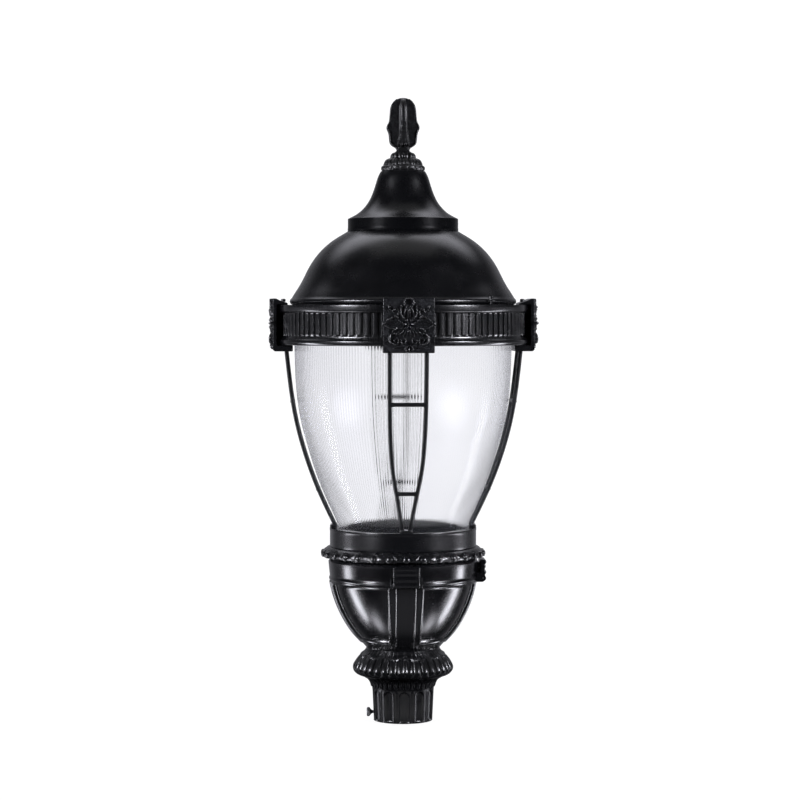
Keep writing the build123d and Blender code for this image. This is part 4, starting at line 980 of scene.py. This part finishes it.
class Relief:
    """Height field over x (sideways) and y (up from the rosette's centre)."""

    def __init__(self, x, y):
        self.x, self.y = x, y
        # soft cushion that the leaves grow out of
        self.height = 2.6 * np.exp(-(((x / 27.0) ** 2 + ((y - 2) / 27.0) ** 2) ** 1.5))

    def stroke(self, points, width, height, cut=False):
        """Ridge, or groove if cut, of half width and height given once or per point."""
        points = np.asarray(points, float)
        width = np.broadcast_to(np.asarray(width, float), (len(points),))
        height = np.broadcast_to(np.asarray(height, float), (len(points),))
        for i in range(len(points) - 1):
            start, end = points[i], points[i + 1]
            margin = max(width[i], width[i + 1]) + 0.5
            low, high = np.minimum(start, end) - margin, np.maximum(start, end) + margin
            near = ((self.x > low[0]) & (self.x < high[0])
                    & (self.y > low[1]) & (self.y < high[1]))
            if not near.any():
                continue
            x, y = self.x[near] - start[0], self.y[near] - start[1]
            along = end - start
            square = max(float(along @ along), 1e-9)
            t = np.clip((x * along[0] + y * along[1]) / square, 0, 1)
            distance = np.hypot(x - t * along[0], y - t * along[1])
            wide = width[i] + t * (width[i + 1] - width[i])
            high = height[i] + t * (height[i + 1] - height[i])
            if cut:
                self.height[near] -= np.where(distance < wide,
                                              high * (1 - (distance / wide) ** 2), 0)
            else:
                self.height[near] = np.maximum(self.height[near], high * crest(distance, wide))

    def both(self, points, width, height):
        """Stroke and its mirror image."""
        points = np.asarray(points, float)
        self.stroke(points, width, height)
        self.stroke(points * [-1, 1], width, height)

    def leaf(self, start, bend, end, width, height):
        """Mirrored curved stroke; width and height are (start, middle, end)."""
        self.both(bezier(start, bend, end), swell(14, *width), swell(14, *height))

    def scroll(self, shape, width, height):
        """Mirrored spiral; shape is (x, y, start radius, end radius, start, end angle)."""
        self.both(arc(*shape, 34), swell(34, *width), swell(34, *height))

    def knob(self, x, y, half_x, half_y, height, turned=0.0):
        """Smooth oval boss, mirrored left to right unless it is on the centre line."""
        for side in ((1, -1) if x else (1,)):
            angle = math.radians(turned * side)
            cos, sin = math.cos(angle), math.sin(angle)
            dx, dy = self.x - side * x, self.y - y
            oval = (((dx * cos + dy * sin) / half_x) ** 2
                    + ((-dx * sin + dy * cos) / half_y) ** 2)
            bump = height * np.sqrt(np.clip(1 - oval, 0, 1))
            np.maximum(self.height, bump, out=self.height)


def rosette_height(x, y):
    relief = Relief(x, y)
    stroke, both, leaf, knob = relief.stroke, relief.both, relief.leaf, relief.knob
    # loop at the top, open towards the stem
    stroke(arc(0.2, 42.0, 8.6, 8.8, -58, 238, 34), 2.5, 7.4)
    both([(14.6, 36.2), (14.2, 34.6)], 2.1, 5.6)
    # palmette: stem and two pairs of leaves
    stroke([(0, 35.0), (0, 28), (0, 19), (0, 10)], [2.4, 5.2, 3.8, 2.2], [6.4, 9.2, 8.2, 5.4])
    leaf((3.0, 37.0), (8.4, 25), (9.6, 12.5), (2.0, 3.0, 1.5), (6.6, 7.4, 5.0))
    leaf((6.0, 11.0), (17.5, 14), (15.0, 31.5), (1.6, 2.5, 1.4), (5.0, 6.4, 5.2))
    stroke([(0, 33), (0, 13)], 0.9, 1.8, cut=True)
    # upper corner leaves with berries
    knob(37.6, 34.4, 2.9, 4.4, 7.4, turned=-12)
    knob(27.0, 29.0, 2.7, 5.0, 7.8, turned=-48)
    leaf((20.5, 13.0), (25.5, 20.0), (26.8, 15.0), (1.6, 2.4, 1.7), (5.2, 7.2, 5.6))
    leaf((30.0, 24.5), (34.0, 30.5), (41.0, 27.0), (1.3, 2.0, 1.1), (4.0, 5.2, 3.2))
    leaf((41.5, 8.6), (37.5, 12.6), (29.8, 15.4), (1.6, 2.6, 1.2), (5.6, 7.0, 4.0))
    knob(18.2, 8.4, 2.0, 2.2, 6.0)
    leaf((22.0, 31.0), (18.0, 24.0), (21.0, 18.0), (1.2, 1.7, 1.1), (3.6, 4.6, 3.6))
    # side leaves, hollow in the middle, ending in a round point
    leaf((13, 5.0), (30, 10.5), (44, 5.2), (1.8, 2.2, 2.2), (4.6, 5.0, 5.0))
    leaf((44.0, -0.4), (33, -8.5), (15, -6.2), (2.2, 2.6, 1.8), (5.0, 5.2, 4.6))
    leaf((17, -0.6), (28, 2.6), (39, 1.6), (1.2, 2.0, 1.2), (3.2, 3.8, 3.2))
    knob(48.6, 2.7, 3.9, 4.1, 8.6)
    leaf((22.6, -5.8), (26.5, -8.0), (30.6, -12.4), (1.8, 2.7, 1.3), (5.2, 7.4, 4.6))
    # fan of leaves below the flower: tip x, tip y, root x, half width, height
    for tip_x, tip_y, root_x, width, height in (
            (3.9, -21.0, 2.6, 2.3, 6.6), (10.6, -22.0, 7.6, 2.2, 5.8),
            (18.4, -18.4, 12.0, 2.3, 6.8), (25.6, -19.6, 20.0, 1.8, 5.0)):
        leaf((root_x * 0.7, -8.0), (root_x, -13.0), (tip_x, tip_y), (1.4, width, 1.0),
             (4.6, height, 4.0))
    # C-scrolls with a thick back
    both([(33.6, -17.4), (36.4, -21.5), (37.6, -26.2), (36.6, -30.8), (33.6, -34.2),
          (30.0, -36.4), (26.0, -37.0)],
         [1.6, 2.5, 3.0, 3.0, 2.9, 2.6, 1.8], [5.6, 7.6, 8.6, 8.6, 8.4, 7.6, 5.0])
    relief.scroll((25.4, -30.4, 6.9, 2.4, -95, -420), (1.5, 1.6, 1.5), (4.6, 4.8, 5.4))
    leaf((33.6, -17.4), (29.5, -15.0), (26.0, -17.6), (1.6, 1.8, 1.1), (5.4, 5.2, 3.6))
    # inner volutes
    relief.scroll((11.2, -30.8, 5.9, 2.0, 130, 470), (1.5, 1.7, 1.5), (4.6, 6.2, 6.6))
    knob(15.2, -30.6, 2.1, 3.0, 6.8)
    knob(6.9, -33.6, 1.8, 3.2, 6.2, turned=14)
    # shell at the foot: an arch over three ribs
    stroke(arc(0.4, -46.5, 7.4, 7.4, 4, 176, 16), 2.1, 6.6)
    stroke([(0.4, -40.5), (0.4, -48.4)], [1.0, 1.7], [4.0, 4.8])
    both([(2.6, -42.0), (4.6, -48.4)], [0.8, 1.4], [3.4, 4.4])
    leaf((10.0, -43.4), (20.0, -41.0), (30.0, -44.6), (1.6, 2.0, 1.0), (4.0, 4.2, 2.4))
    # central flower: six petals, parted by cuts, round a button
    centre_y = 1.6
    for first_angle, start, end, width, height, cut in (
            (0, 3.6, 8.0, [1.8, 3.5], [6.6, 9.0], False), (30, 4.4, 12.6, 0.8, 2.2, True)):
        for k in range(6):
            angle = math.radians(first_angle + 60 * k)
            stroke([(r * math.cos(angle), centre_y + r * math.sin(angle)) for r in (start, end)],
                   width, height, cut)
    knob(0.0, centre_y, 3.4, 3.4, 9.4)
    return np.clip(relief.height, -0.4, 9.6)


ROSETTE_CENTRE = 793.4    # height of the relief's y = 0
# outward, height
CLASP = [(230.0, 832.1), (251.0, 832.1), (251.0, 752.9), (219.8, 752.9), (219.8, 741.0),
         (221.0, 740.0), (255.6, 740.0), (259.2, 743.0), (259.2, 842.5), (256.6, 845.0),
         (252.0, 844.4), (246.0, 841.2), (231.4, 836.4), (230.0, 835.0)]


def rosette_mesh():
    """Relief front, flat back and side walls as (outward, sideways, up)."""
    rows, columns = ((240, 250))
    y = np.linspace(-50.6, 51.4, columns)
    half_width = 47.4 + 1.6 * smoothstep(-y, 10, 46) + 4.4 * crest(y - 2.7, 5.2)
    y_grid, share = np.meshgrid(y, np.linspace(-1, 1, rows), indexing="xy")
    x_grid = share * half_width[None, :]
    height = rosette_height(x_grid, y_grid)
    height *= smoothstep(np.minimum(51.6 - y_grid, y_grid + 50.8), -0.6, 0.8)
    up = y_grid + ROSETTE_CENTRE
    front = np.stack([259.1 + height, x_grid, up], -1)
    back = np.stack([np.full_like(x_grid, 256.6), x_grid, up], -1)
    count = rows * columns
    faces = grid_faces(rows, columns, False, False)
    faces += [tuple(i + count for i in reversed(face)) for face in faces]

    def wall(start, end):
        faces.append((start, end, end + count, start + count))

    last_row = (rows - 1) * columns
    for j in range(columns - 1):
        a, b = j + 1, j
        faces.append((a, b, b + count, a + count))
        wall(last_row + j, last_row + j + 1)
    for i in range(rows - 1):
        wall(i * columns, (i + 1) * columns)
        wall((i + 2) * columns - 1, (i + 1) * columns - 1)
    return np.vstack([front.reshape(-1, 3), back.reshape(-1, 3)]), faces


def build_rosettes():
    verts, faces = rosette_mesh()
    clasp = plate(rounded(CLASP, 0.9, 3), half=49.0, bevel=1.3, steps=4)
    for side, angle in SIDES:
        shells = Shells()
        shells.add(place(angle, verts), faces)
        shells.add(*upright(angle, clasp))
        shells.build("rosette_bracket_" + side, "lantern", "relief", "black_gloss_casting",
                     ["rosette_" + side], sharp=50)


# ---------------------------------------------------------------------------
# hood: dome with its screw lug, and cupola
# ---------------------------------------------------------------------------
ROD_BORE = 5.5    # radius of the hole for the finial rod
# radius, height
DOME = [(221.8, 846.2), (219.0, 852), (214.2, 858), (210.4, 864), (206.6, 870), (203.0, 876),
        (197.0, 888), (191.4, 900), (185.0, 912), (177.0, 924), (167.6, 936), (155.6, 948),
        (141.0, 960), (131.0, 966.3), (120.8, 972), (111.0, 978)]
DOME_SHEET = 2.5
HEM_CENTRE = (219.0, 839.05)
HEM_RADIUS = 7.0
# outward, sideways
HOOD_LUG = [(221.5, -7), (237.0, -7), (237.0, 7), (221.5, 7)]
# radius, height
CUPOLA_RIM = [(106.8, 978.1), (110.0, 978.1), (110.4, 978.7), (110.4, 983.6), (110.1, 984.4),
              (110.1, 988.0), (110.1, 994.0), (110.1, 999.0), (110.1, 1001.6),
              (110.1, 1002.9), (109.6, 1003.4)]
CUPOLA_BELL = [(109.6, 1003.4), (102.0, 1007.2), (93.6, 1011.6), (86.8, 1016.4), (80.6, 1022),
               (75.6, 1027.6), (71.2, 1033.4), (67.4, 1039.6), (64.0, 1046), (60.0, 1056),
               (57.2, 1064), (54.4, 1073), (51.8, 1082), (48.4, 1091), (44.6, 1097.2)]
CUPOLA_SHEET = 3.0


def build_hood():
    top = DOME[-1][1]
    outer = fair(DOME, 9, 3.0)
    crown = dense([DOME[-1], (ROD_BORE, top), (ROD_BORE, top - DOME_SHEET),
                   (109.2, top - DOME_SHEET)], 20)
    inner = inset(outer, DOME_SHEET)[1:-1]
    hem = [(HEM_CENTRE[0] + HEM_RADIUS * math.cos(math.radians(angle)),
            HEM_CENTRE[1] + HEM_RADIUS * math.sin(math.radians(angle)))
           for angle in range(62, -246, -14)]
    loop = np.vstack([outer[1:], crown[1:], inner[::-1][1:-1], hem[::-1]])
    revolve("hood_dome", loop, 360, "hood", "satin", "black_satin_spinning", ["dome"], sharp=50)

    # lug of the captive screw
    shells = Shells()
    lug = plate(rounded(HOOD_LUG, 4.0, 5), half=1.5, bevel=0.6)
    shells.add(*level(-45.0, lug, 841.5))
    shells.build("hood_screw_lug", "hood", "satin", "black_satin_spinning")

    top = 1098.0
    bell = fair(CUPOLA_BELL, 4, 2.0)
    loop = np.vstack([
        rounded(CUPOLA_RIM, 0.3, 2, close=False), bell[1:],
        [(44.0, top), (24, top), (ROD_BORE, top), (ROD_BORE, top - CUPOLA_SHEET),
         (40.5, top - CUPOLA_SHEET)],
        inset(bell, CUPOLA_SHEET)[::-1][1:-1], [(106.8, 1000.0), (106.8, 990.0)]])
    revolve("hood_cupola", loop, 320, "hood", "cupola", "black_satin_spinning", ["cupola"],
            sharp=40)


# ---------------------------------------------------------------------------
# finial base: lip, petal skirt and bead tier
# ---------------------------------------------------------------------------
# (radius, height) points, smoothing, step
FINIAL_BASE = [
    ([(41.5, 1098.3), (43.2, 1100.4), (44.0, 1104.0), (43.2, 1107.4), (40.6, 1108.9)], 1.0, 0.8),
    ([(39.4, 1109.3), (38.9, 1112.6), (37.2, 1117.0), (34.6, 1120.6), (31.2, 1122.9),
      (27.6, 1123.8)], 1.0, 0.7),
    ([(26.2, 1124.2), (26.0, 1126.6), (25.4, 1129.6), (23.4, 1132.8), (20.6, 1134.6),
      (18.0, 1135.2)], 0.8, 0.6),
    ([(16.6, 1135.8), (15.4, 1136.6), (13.8, 1138.0), (12.8, 1139.9)], 0.6, 0.6),
]
PETALS = 12
LIP_LOBES = 16


def finial_base_shape(theta, radius, z):
    out = np.zeros_like(radius)
    across = saw(theta, PETALS, FRONT)
    petal = crest(np.abs(across), 1.02, 2.4)
    out += window(z, 1109.2, 1124.0, 1.4) * (-3.2 * (1 - petal) - 0.9 * ridge(across, 0.12))
    ball = crest(np.abs(saw(theta, PETALS, staggered(PETALS))), 0.96)
    out += window(z, 1123.9, 1135.3, 1.2) * (-4.0 * (1 - ball))
    lobe = crest(np.abs(saw(theta, LIP_LOBES, FRONT)), 1.0, 2.4)
    out += window(z, 1098.6, 1108.8, 1.6) * (-1.3 * (1 - lobe))
    return np.where(radius > 9, out, 0)


def build_finial_base():
    tiers = [fair(*tier) for tier in FINIAL_BASE]
    loop = np.vstack([[(ROD_BORE, 1098.1), (30.0, 1098.1)], *tiers,
                      [(9.0, 1139.9), (ROD_BORE, 1139.9), (ROD_BORE, 1120.0)]])
    revolve("finial_base_casting", loop, 480, "hood", "dull", "black_casting", ["finial_base"],
            finial_base_shape, sharp=45)


# ---------------------------------------------------------------------------
# finial: four flat fins with rounded noses and a small nub, round a fluted core
# ---------------------------------------------------------------------------
# outward, height
FIN = [(12.8, 1140), (15.4, 1146.2), (21.5, 1149.6), (25.6, 1152.6), (27.2, 1157),
       (27.8, 1164), (28.4, 1171), (29.6, 1176), (32.0, 1180.4), (32.8, 1183.4),
       (32.6, 1187.2), (30.6, 1191), (28.6, 1194.6), (27.4, 1200), (26.8, 1207),
       (26.2, 1215), (25.6, 1222), (23.6, 1229), (20.0, 1234.6), (15.0, 1239.2),
       (8.6, 1242.6), (3.0, 1243.9), (0.0, 1244.0)]
# radius, height
FINIAL_CORE = [(0, 1140.0), (12.0, 1140.0), (12.8, 1141.2), (12.6, 1144), (11.6, 1150),
               (10.8, 1160), (10.4, 1180), (10.2, 1210), (9.6, 1226), (7.0, 1236),
               (3.0, 1241), (0, 1242)]


def build_finial():
    nose = fair(FIN, 1.2, 1.2)
    verts, faces = plate(np.vstack([nose, (nose[::-1] * [-1, 1])[1:]]), half=5.6, bevel=1.8,
                         steps=5)
    # thicker towards the foot
    rise = np.clip((verts[:, 1] - 1140) / 104, 0, 1)
    verts[:, 2] *= 0.92 + 0.85 * (1 - smoothstep(rise, 0.10, 0.50))
    shells = Shells()
    for angle in (0.0, 90.0):
        shells.add(*upright(angle, (verts, faces)))

    # raised flutes on the nose of each fin: two all the way up, two more below the nub
    long_run = nose[(nose[:, 1] > 1144) & (nose[:, 1] < 1240.5)]
    foot_run = long_run[long_run[:, 1] < 1183]
    for quarter in range(4):
        angle = 90.0 * quarter
        out, z = long_run.T
        for side in (-1, 1):
            spread = 3.1 + 0.9 * (1 - smoothstep(z, 1170, 1215))
            radius = 2.0 + 0.6 * (1 - smoothstep(z, 1180, 1200))
            path = np.column_stack([out - radius * 0.9, side * spread, z])
            shells.add(*tube(place(angle, path), radius, 14))
        out, z = foot_run.T
        for side in (-1, 1):
            spread = 7.0 + 3.0 * (1 - smoothstep(z, 1146, 1180))
            radius = 1.7 * smoothstep(z, 1143, 1150) * (1 - smoothstep(z, 1176, 1183)) + 0.4
            path = np.column_stack([out - 2.4, side * spread, z])
            shells.add(*tube(place(angle, path), radius, 12))
        # collar where the upper and lower leaves meet
        collar = [(30.6, lateral, 1184.4) for lateral in np.linspace(-6.6, 6.6, 9)]
        shells.add(*tube(place(angle, collar), 1.5, 12))

    shells.add(*turned_solid(dense(FINIAL_CORE, 3), 48, flute=0.05))
    # leaf knobs at the foot, between the fins
    for quarter in range(4):
        angle = 45.0 + 90 * quarter
        shells.add(*dome_head(place(angle, (9.0, 0, 1141.0)), place(angle, (0.8, 0, 0.6)),
                              radius=4.6, height=6.0, count=18))
    shells.build("finial_casting", "hood", "dull", "black_casting", ["finial"], sharp=50)


# ---------------------------------------------------------------------------
# small fasteners that show
# ---------------------------------------------------------------------------
# lock screw: outward, distance from the screw's axis
LOCK_SCREW = [(38.7, 0), (38.7, 2.1), (40.2, 2.95), (50.0, 2.95), (60.5, 2.95), (62.6, 3.6),
              (64.6, 5.2), (66.2, 7.4), (67.2, 8.9), (68.0, 9.2), (70.8, 9.2), (72.0, 8.8),
              (72.7, 7.6), (72.8, 6.4), (72.8, 3.6), (72.4, 3.2), (69.2, 3.0), (69.0, 0)]
LOCK_SCREW_HEIGHT = 16.0


def build_screw_ring(name, node, out, head_z, head_radius, head_height, socket, shank,
                     shank_radius):
    """Four upright socket screws, one on each side; shank lists heights."""
    shells = Shells()
    for quarter in range(4):
        angle = 90.0 * quarter
        shells.add(*dome_head(place(angle, (out, 0, head_z)), (0, 0, 1), head_radius,
                              head_height, 28, socket))
        shells.add(*tube(place(angle, [(out, 0, z) for z in shank]), shank_radius, 16))
    shells.build(name, "lantern", "darksteel", "stainless_steel", [node])


def build_fasteners():
    build_screw_ring("bracket_screws", "rosette_screws", out=239.0, head_z=838.3,
                     head_radius=4.8, head_height=6.0, socket=2.2,
                     shank=(825.0, 831.0, 838.5), shank_radius=2.5)
    build_screw_ring("rib_foot_fasteners", "rib_foot_screws", out=141.5, head_z=392.1,
                     head_radius=3.8, head_height=3.2, socket=1.8,
                     shank=(374.0, 383.0, 392.3), shank_radius=2.0)
    out, radius = np.array(LOCK_SCREW, float)[1:-1].T
    theta = (np.arange(36) * TAU / 36)[:, None]
    points = np.stack(np.broadcast_arrays(out, radius * np.cos(theta),
                                          LOCK_SCREW_HEIGHT + radius * np.sin(theta)), -1)
    for side, angle in (("left", 180.0), ("rear", 90.0)):
        name = "lock_screw_" + side
        first, last = (place(angle, (LOCK_SCREW[end][0], 0, LOCK_SCREW_HEIGHT))
                       for end in (0, -1))
        mesh = with_poles(place(angle, points), first, last, around=0, reverse_caps=True)
        make_object(name + "_set_screw", *mesh, name + "_body", "zinc", "stainless_steel",
                    [name], sharp=40)


# ---------------------------------------------------------------------------
# finishes of the CAD nodes that are kept; the others are cast
# ---------------------------------------------------------------------------
FINISHES = {
    "steel": "housing_bolts driver_screws hinge_screws tilt_hinge_pin leaf_screws finial_rod "
             "finial_nut heat_sink_screws",
    "darksteel": "latch_pins gear_cover_screws hood_hinge_screws hood_hinge_pin",
    "plate": "driver_tray hinge_leaf_lower hinge_leaf_upper hood_hinge_leaf hood_hinge_strap",
    "rubber": "globe_seat_gasket globe_top_gasket roof_seal",
    "driver": "led_driver",
    "grey": "terminal_block",
    "white": "surge_protector",
    "rod": "feed_conduit",
    "alu": "heat_sink",
    "board": "led_board",
    "lens": "led_lens",
    "reflector": "reflector",
    "satin": "hood_screw",
}


def finish_cad_nodes():
    finish_of = {node: key for key, nodes in FINISHES.items() for node in nodes.split()}
    for name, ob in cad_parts.items():
        if ob.hide_render:
            continue
        ob.data.materials.clear()
        ob.data.materials.append(MATERIALS[finish_of.get(name, "cast")])
        shade(ob.data, sharp=32)


for build in (build_fitter, build_housing, build_latches, build_bead_ring,
              build_collar_and_drum, build_globe, build_ribs, build_band, build_rosettes,
              build_hood, build_finial_base, build_finial, build_fasteners, finish_cad_nodes):
    build()

# ---------------------------------------------------------------------------
# floor and table glow
# ---------------------------------------------------------------------------
scene = bpy.context.scene
scene.view_settings.view_transform = "Standard"
FLOOR_Z = -0.0012
SWEEP_START, SWEEP_RADIUS = 3.0, 2.4    # y where the floor starts to rise, and its curve


def floor_material():
    """Near-white floor; seen through glass it is graded from side to side and upward, painted
    light and shade that make the glass darker at the left, brightest just right of the middle and
    dimmer higher up.
    """
    graph = MaterialGraph("studio_floor")
    coords = graph.object_coords()
    tone = graph.ramp(graph.noise(coords, scale=1.5, detail=2.0), [(0.3, 0.85), (0.7, 0.87)])
    diffuse = graph.add("BsdfDiffuse", {"Color": tone}).outputs["BSDF"]
    direct = graph.emission((1, 1, 1, 1), 1.10)
    ray = graph.add("LightPath").outputs
    seen = graph.calc("MAXIMUM", ray["Is Camera Ray"], ray["Is Transmission Ray"])
    glow_share = graph.product(seen, 0.86)
    axes = graph.axes(coords)
    across = graph.map_range(axes["X"], source=(-0.45, 0.65))
    # painted light and shade seen through the glass: darker at the left, brightest just right of
    # the middle
    painted_side_shade = graph.ramp(across, [(0.0, (0.79, 0.788, 0.803)), (0.36, (0.95, 0.95, 0.96)),
                                (0.50, (1.12, 1.12, 1.13)), (0.66, (1.13, 1.13, 1.135)),
                                (1.0, (0.98, 0.98, 0.985))])
    # painted shade seen through the glass: dimmer higher up
    rise = graph.ramp(axes["Z"], [(0.0, 0.95), (0.22, 1.0), (0.62, 0.92), (1.0, 0.88)])
    through = graph.emission(graph.mix(1.0, painted_side_shade, rise, blend_type="MULTIPLY"), 1.0)
    glow = graph.mix_shader(ray["Is Transmission Ray"], direct, through)
    return graph.finish(graph.mix_shader(glow_share, diffuse, glow))


def glow_material():
    """Glowing patch in front of the foot that only low rays meet."""
    graph = MaterialGraph("table_glow")
    coords = graph.object_coords()
    axes = graph.axes(coords)
    wide = graph.ramp(graph.calc("ABSOLUTE", axes["X"]), [(0.05, 1.0), (0.15, 0.0)], "EASE")
    depth = graph.ramp(graph.product(axes["Y"], -1.0),
                       [(0.06, 0.0), (0.12, 1.0), (0.34, 1.0), (0.52, 0.0)], "EASE")
    incoming = graph.axes(graph.add("NewGeometry").outputs["Incoming"])
    low = graph.ramp(incoming["Z"], [(0.34, 1.0), (0.50, 0.0)], "EASE")
    share = graph.product(wide, depth, low)
    vary = graph.calc("MULTIPLY_ADD", graph.noise(coords, scale=4.0, detail=2.0), 0.25, 0.88)
    glow = graph.emission((1, 1, 1, 1), graph.product(vary, 1.75))
    clear = graph.add("BsdfTransparent").outputs["BSDF"]
    return graph.finish(graph.mix_shader(share, clear, glow))


def stage_object(name, verts, faces, material, hidden_from, smooth=False):
    """Stage piece, in metres, that is not visible to the given kinds of ray."""
    mesh = bpy.data.meshes.new(name)
    mesh.from_pydata(verts, [], faces)
    if smooth:
        mesh.shade_smooth()
    mesh.materials.append(material)
    ob = bpy.data.objects.new(name, mesh)
    scene.collection.objects.link(ob)
    for kind in hidden_from:
        setattr(ob, "visible_" + kind, False)


# floor that curves up into a far backdrop
sweep = [(y, FLOOR_Z) for y in (-9.0, -4.0, 0.0, SWEEP_START)]
for degrees in range(9, 91, 9):
    angle = math.radians(degrees)
    sweep.append((SWEEP_START + SWEEP_RADIUS * math.sin(angle),
                  SWEEP_RADIUS - SWEEP_RADIUS * math.cos(angle) + FLOOR_Z))
sweep.append((SWEEP_START + SWEEP_RADIUS, 9.0))
stage_object("studio_sweep", [(x, y, z) for y, z in sweep for x in (-12.0, 12.0)],
             [(2 * i, 2 * i + 1, 2 * i + 3, 2 * i + 2) for i in range(len(sweep) - 1)],
             floor_material(), ("glossy", "diffuse"), smooth=True)

glow_ring = [(0.58 * math.cos(TAU * i / 48), 0.58 * math.sin(TAU * i / 48), -0.0008)
             for i in range(48)]
stage_object("table_glow", glow_ring, [tuple(range(48))], glow_material(),
             ("camera", "diffuse", "transmission", "shadow", "volume_scatter"))

# ---------------------------------------------------------------------------
# world: a studio tent, bright behind the object and black on the camera's side
# ---------------------------------------------------------------------------
# angle away from the front: from, to, softness; elevation: from, to, softness; strength
WORLD_PANELS = {
    "front panels": (49.0, 62.0, 2.5, 8.0, 20.0, 2.0, 66.0),
    "side strips": (93.0, 106.0, 4.0, -46.0, -9.5, 3.0, 16.0),
    "belt": (42.0, 124.0, 12.0, -10.0, -0.4, 1.6, 0.42),
    "low spots": (68.0, 88.0, 7.0, -62.0, -48.0, 6.0, 8.0),
    "low fill": (-30.0, 17.0, 4.0, -24.0, -16.0, 3.0, 0.35),
    "under": (-30.0, 46.0, 12.0, -74.0, -30.0, 8.0, 0.24),
}


def build_world():
    world = bpy.data.worlds.new("studio_world")
    scene.world = world
    world.use_nodes = True
    graph = Graph(world.node_tree)
    calc, product, step, band = graph.calc, graph.product, graph.step, graph.band
    axes = graph.axes(graph.add("TexCoord").outputs["Generated"])
    to_degrees = 180 / math.pi
    elevation = product(calc("ARCSINE", axes["Z"]), to_degrees)
    azimuth = product(calc("ARCTAN2", axes["X"], product(axes["Y"], -1.0)), to_degrees)
    from_front = calc("ABSOLUTE", azimuth)

    base_light = 0.018
    lower, upper = step(elevation, -62.0, -8.0), step(elevation, 16.0, 34.0)
    back_band = product(lower, calc("SUBTRACT", 1.0, upper), 0.32)
    back = product(step(axes["Y"], 0.45, 1.0), back_band)
    top = product(step(axes["Y"], 0.22, 0.55), band(elevation, 38.0, 72.0, 9.0), 2.3)
    total = calc("ADD", calc("ADD", base_light, back), top)
    for name, row in WORLD_PANELS.items():
        panel = product(band(from_front, *row[:3]), band(elevation, *row[3:6]), row[6])
        if name == "side strips":
            # hidden from rays that have been inside the glass, or the prisms sparkle
            depth = graph.add("LightPath").outputs["Transmission Depth"]
            inside = product(calc("GREATER_THAN", depth, 0.5), 0.98)
            panel = product(panel, calc("SUBTRACT", 1.0, inside))
        total = calc("ADD", total, panel)

    # through the glass: the white sweep behind, greyer towards the camera's side
    through = calc("ADD", 0.50, product(step(axes["Y"], -0.35, 0.55), 0.48))
    ray = graph.add("LightPath").outputs
    transmitted, direct = ray["Is Transmission Ray"], ray["Is Camera Ray"]
    strength = graph.mix(transmitted, total, through, "FLOAT")
    strength = graph.mix(direct, strength, 1.0, "FLOAT")
    tint = graph.mix(transmitted, (0.92, 0.92, 1.0, 1), (0.985, 0.983, 1.0, 1))
    color = graph.mix(direct, tint, (1.0, 1.0, 1.0, 1))
    background = graph.add("Background", {"Color": color, "Strength": strength})
    graph.add("OutputWorld", {"Surface": background.outputs["Background"]})


build_world()

# ---------------------------------------------------------------------------
# light and camera
# ---------------------------------------------------------------------------


def add_aimed(name, data, location, target):
    ob = bpy.data.objects.new(name, data)
    scene.collection.objects.link(ob)
    ob.location = location
    direction = Vector(target) - ob.location
    ob.rotation_euler = direction.to_track_quat("-Z", "Y").to_euler()
    return ob


light = bpy.data.lights.new("softbox_top", "AREA")
light.shape = "RECTANGLE"
light.size, light.size_y = 2.4, 2.0
light.energy = 6
add_aimed("softbox_top", light, location=(0.0, 0.3, 3.6), target=(0, 0, 0.6))

CAMERA_DISTANCE = 4.94
CAMERA_AZIMUTH = math.radians(-2.5)    # from the front, positive towards +x
camera = bpy.data.cameras.new("camera")
camera.lens = 111.2
camera.sensor_width = 36.0
camera.clip_start, camera.clip_end = 0.05, 60
scene.camera = add_aimed(
    "camera", camera, target=(-0.006, 0.0, 0.642),
    location=(CAMERA_DISTANCE * math.sin(CAMERA_AZIMUTH),
              -CAMERA_DISTANCE * math.cos(CAMERA_AZIMUTH), 0.82))
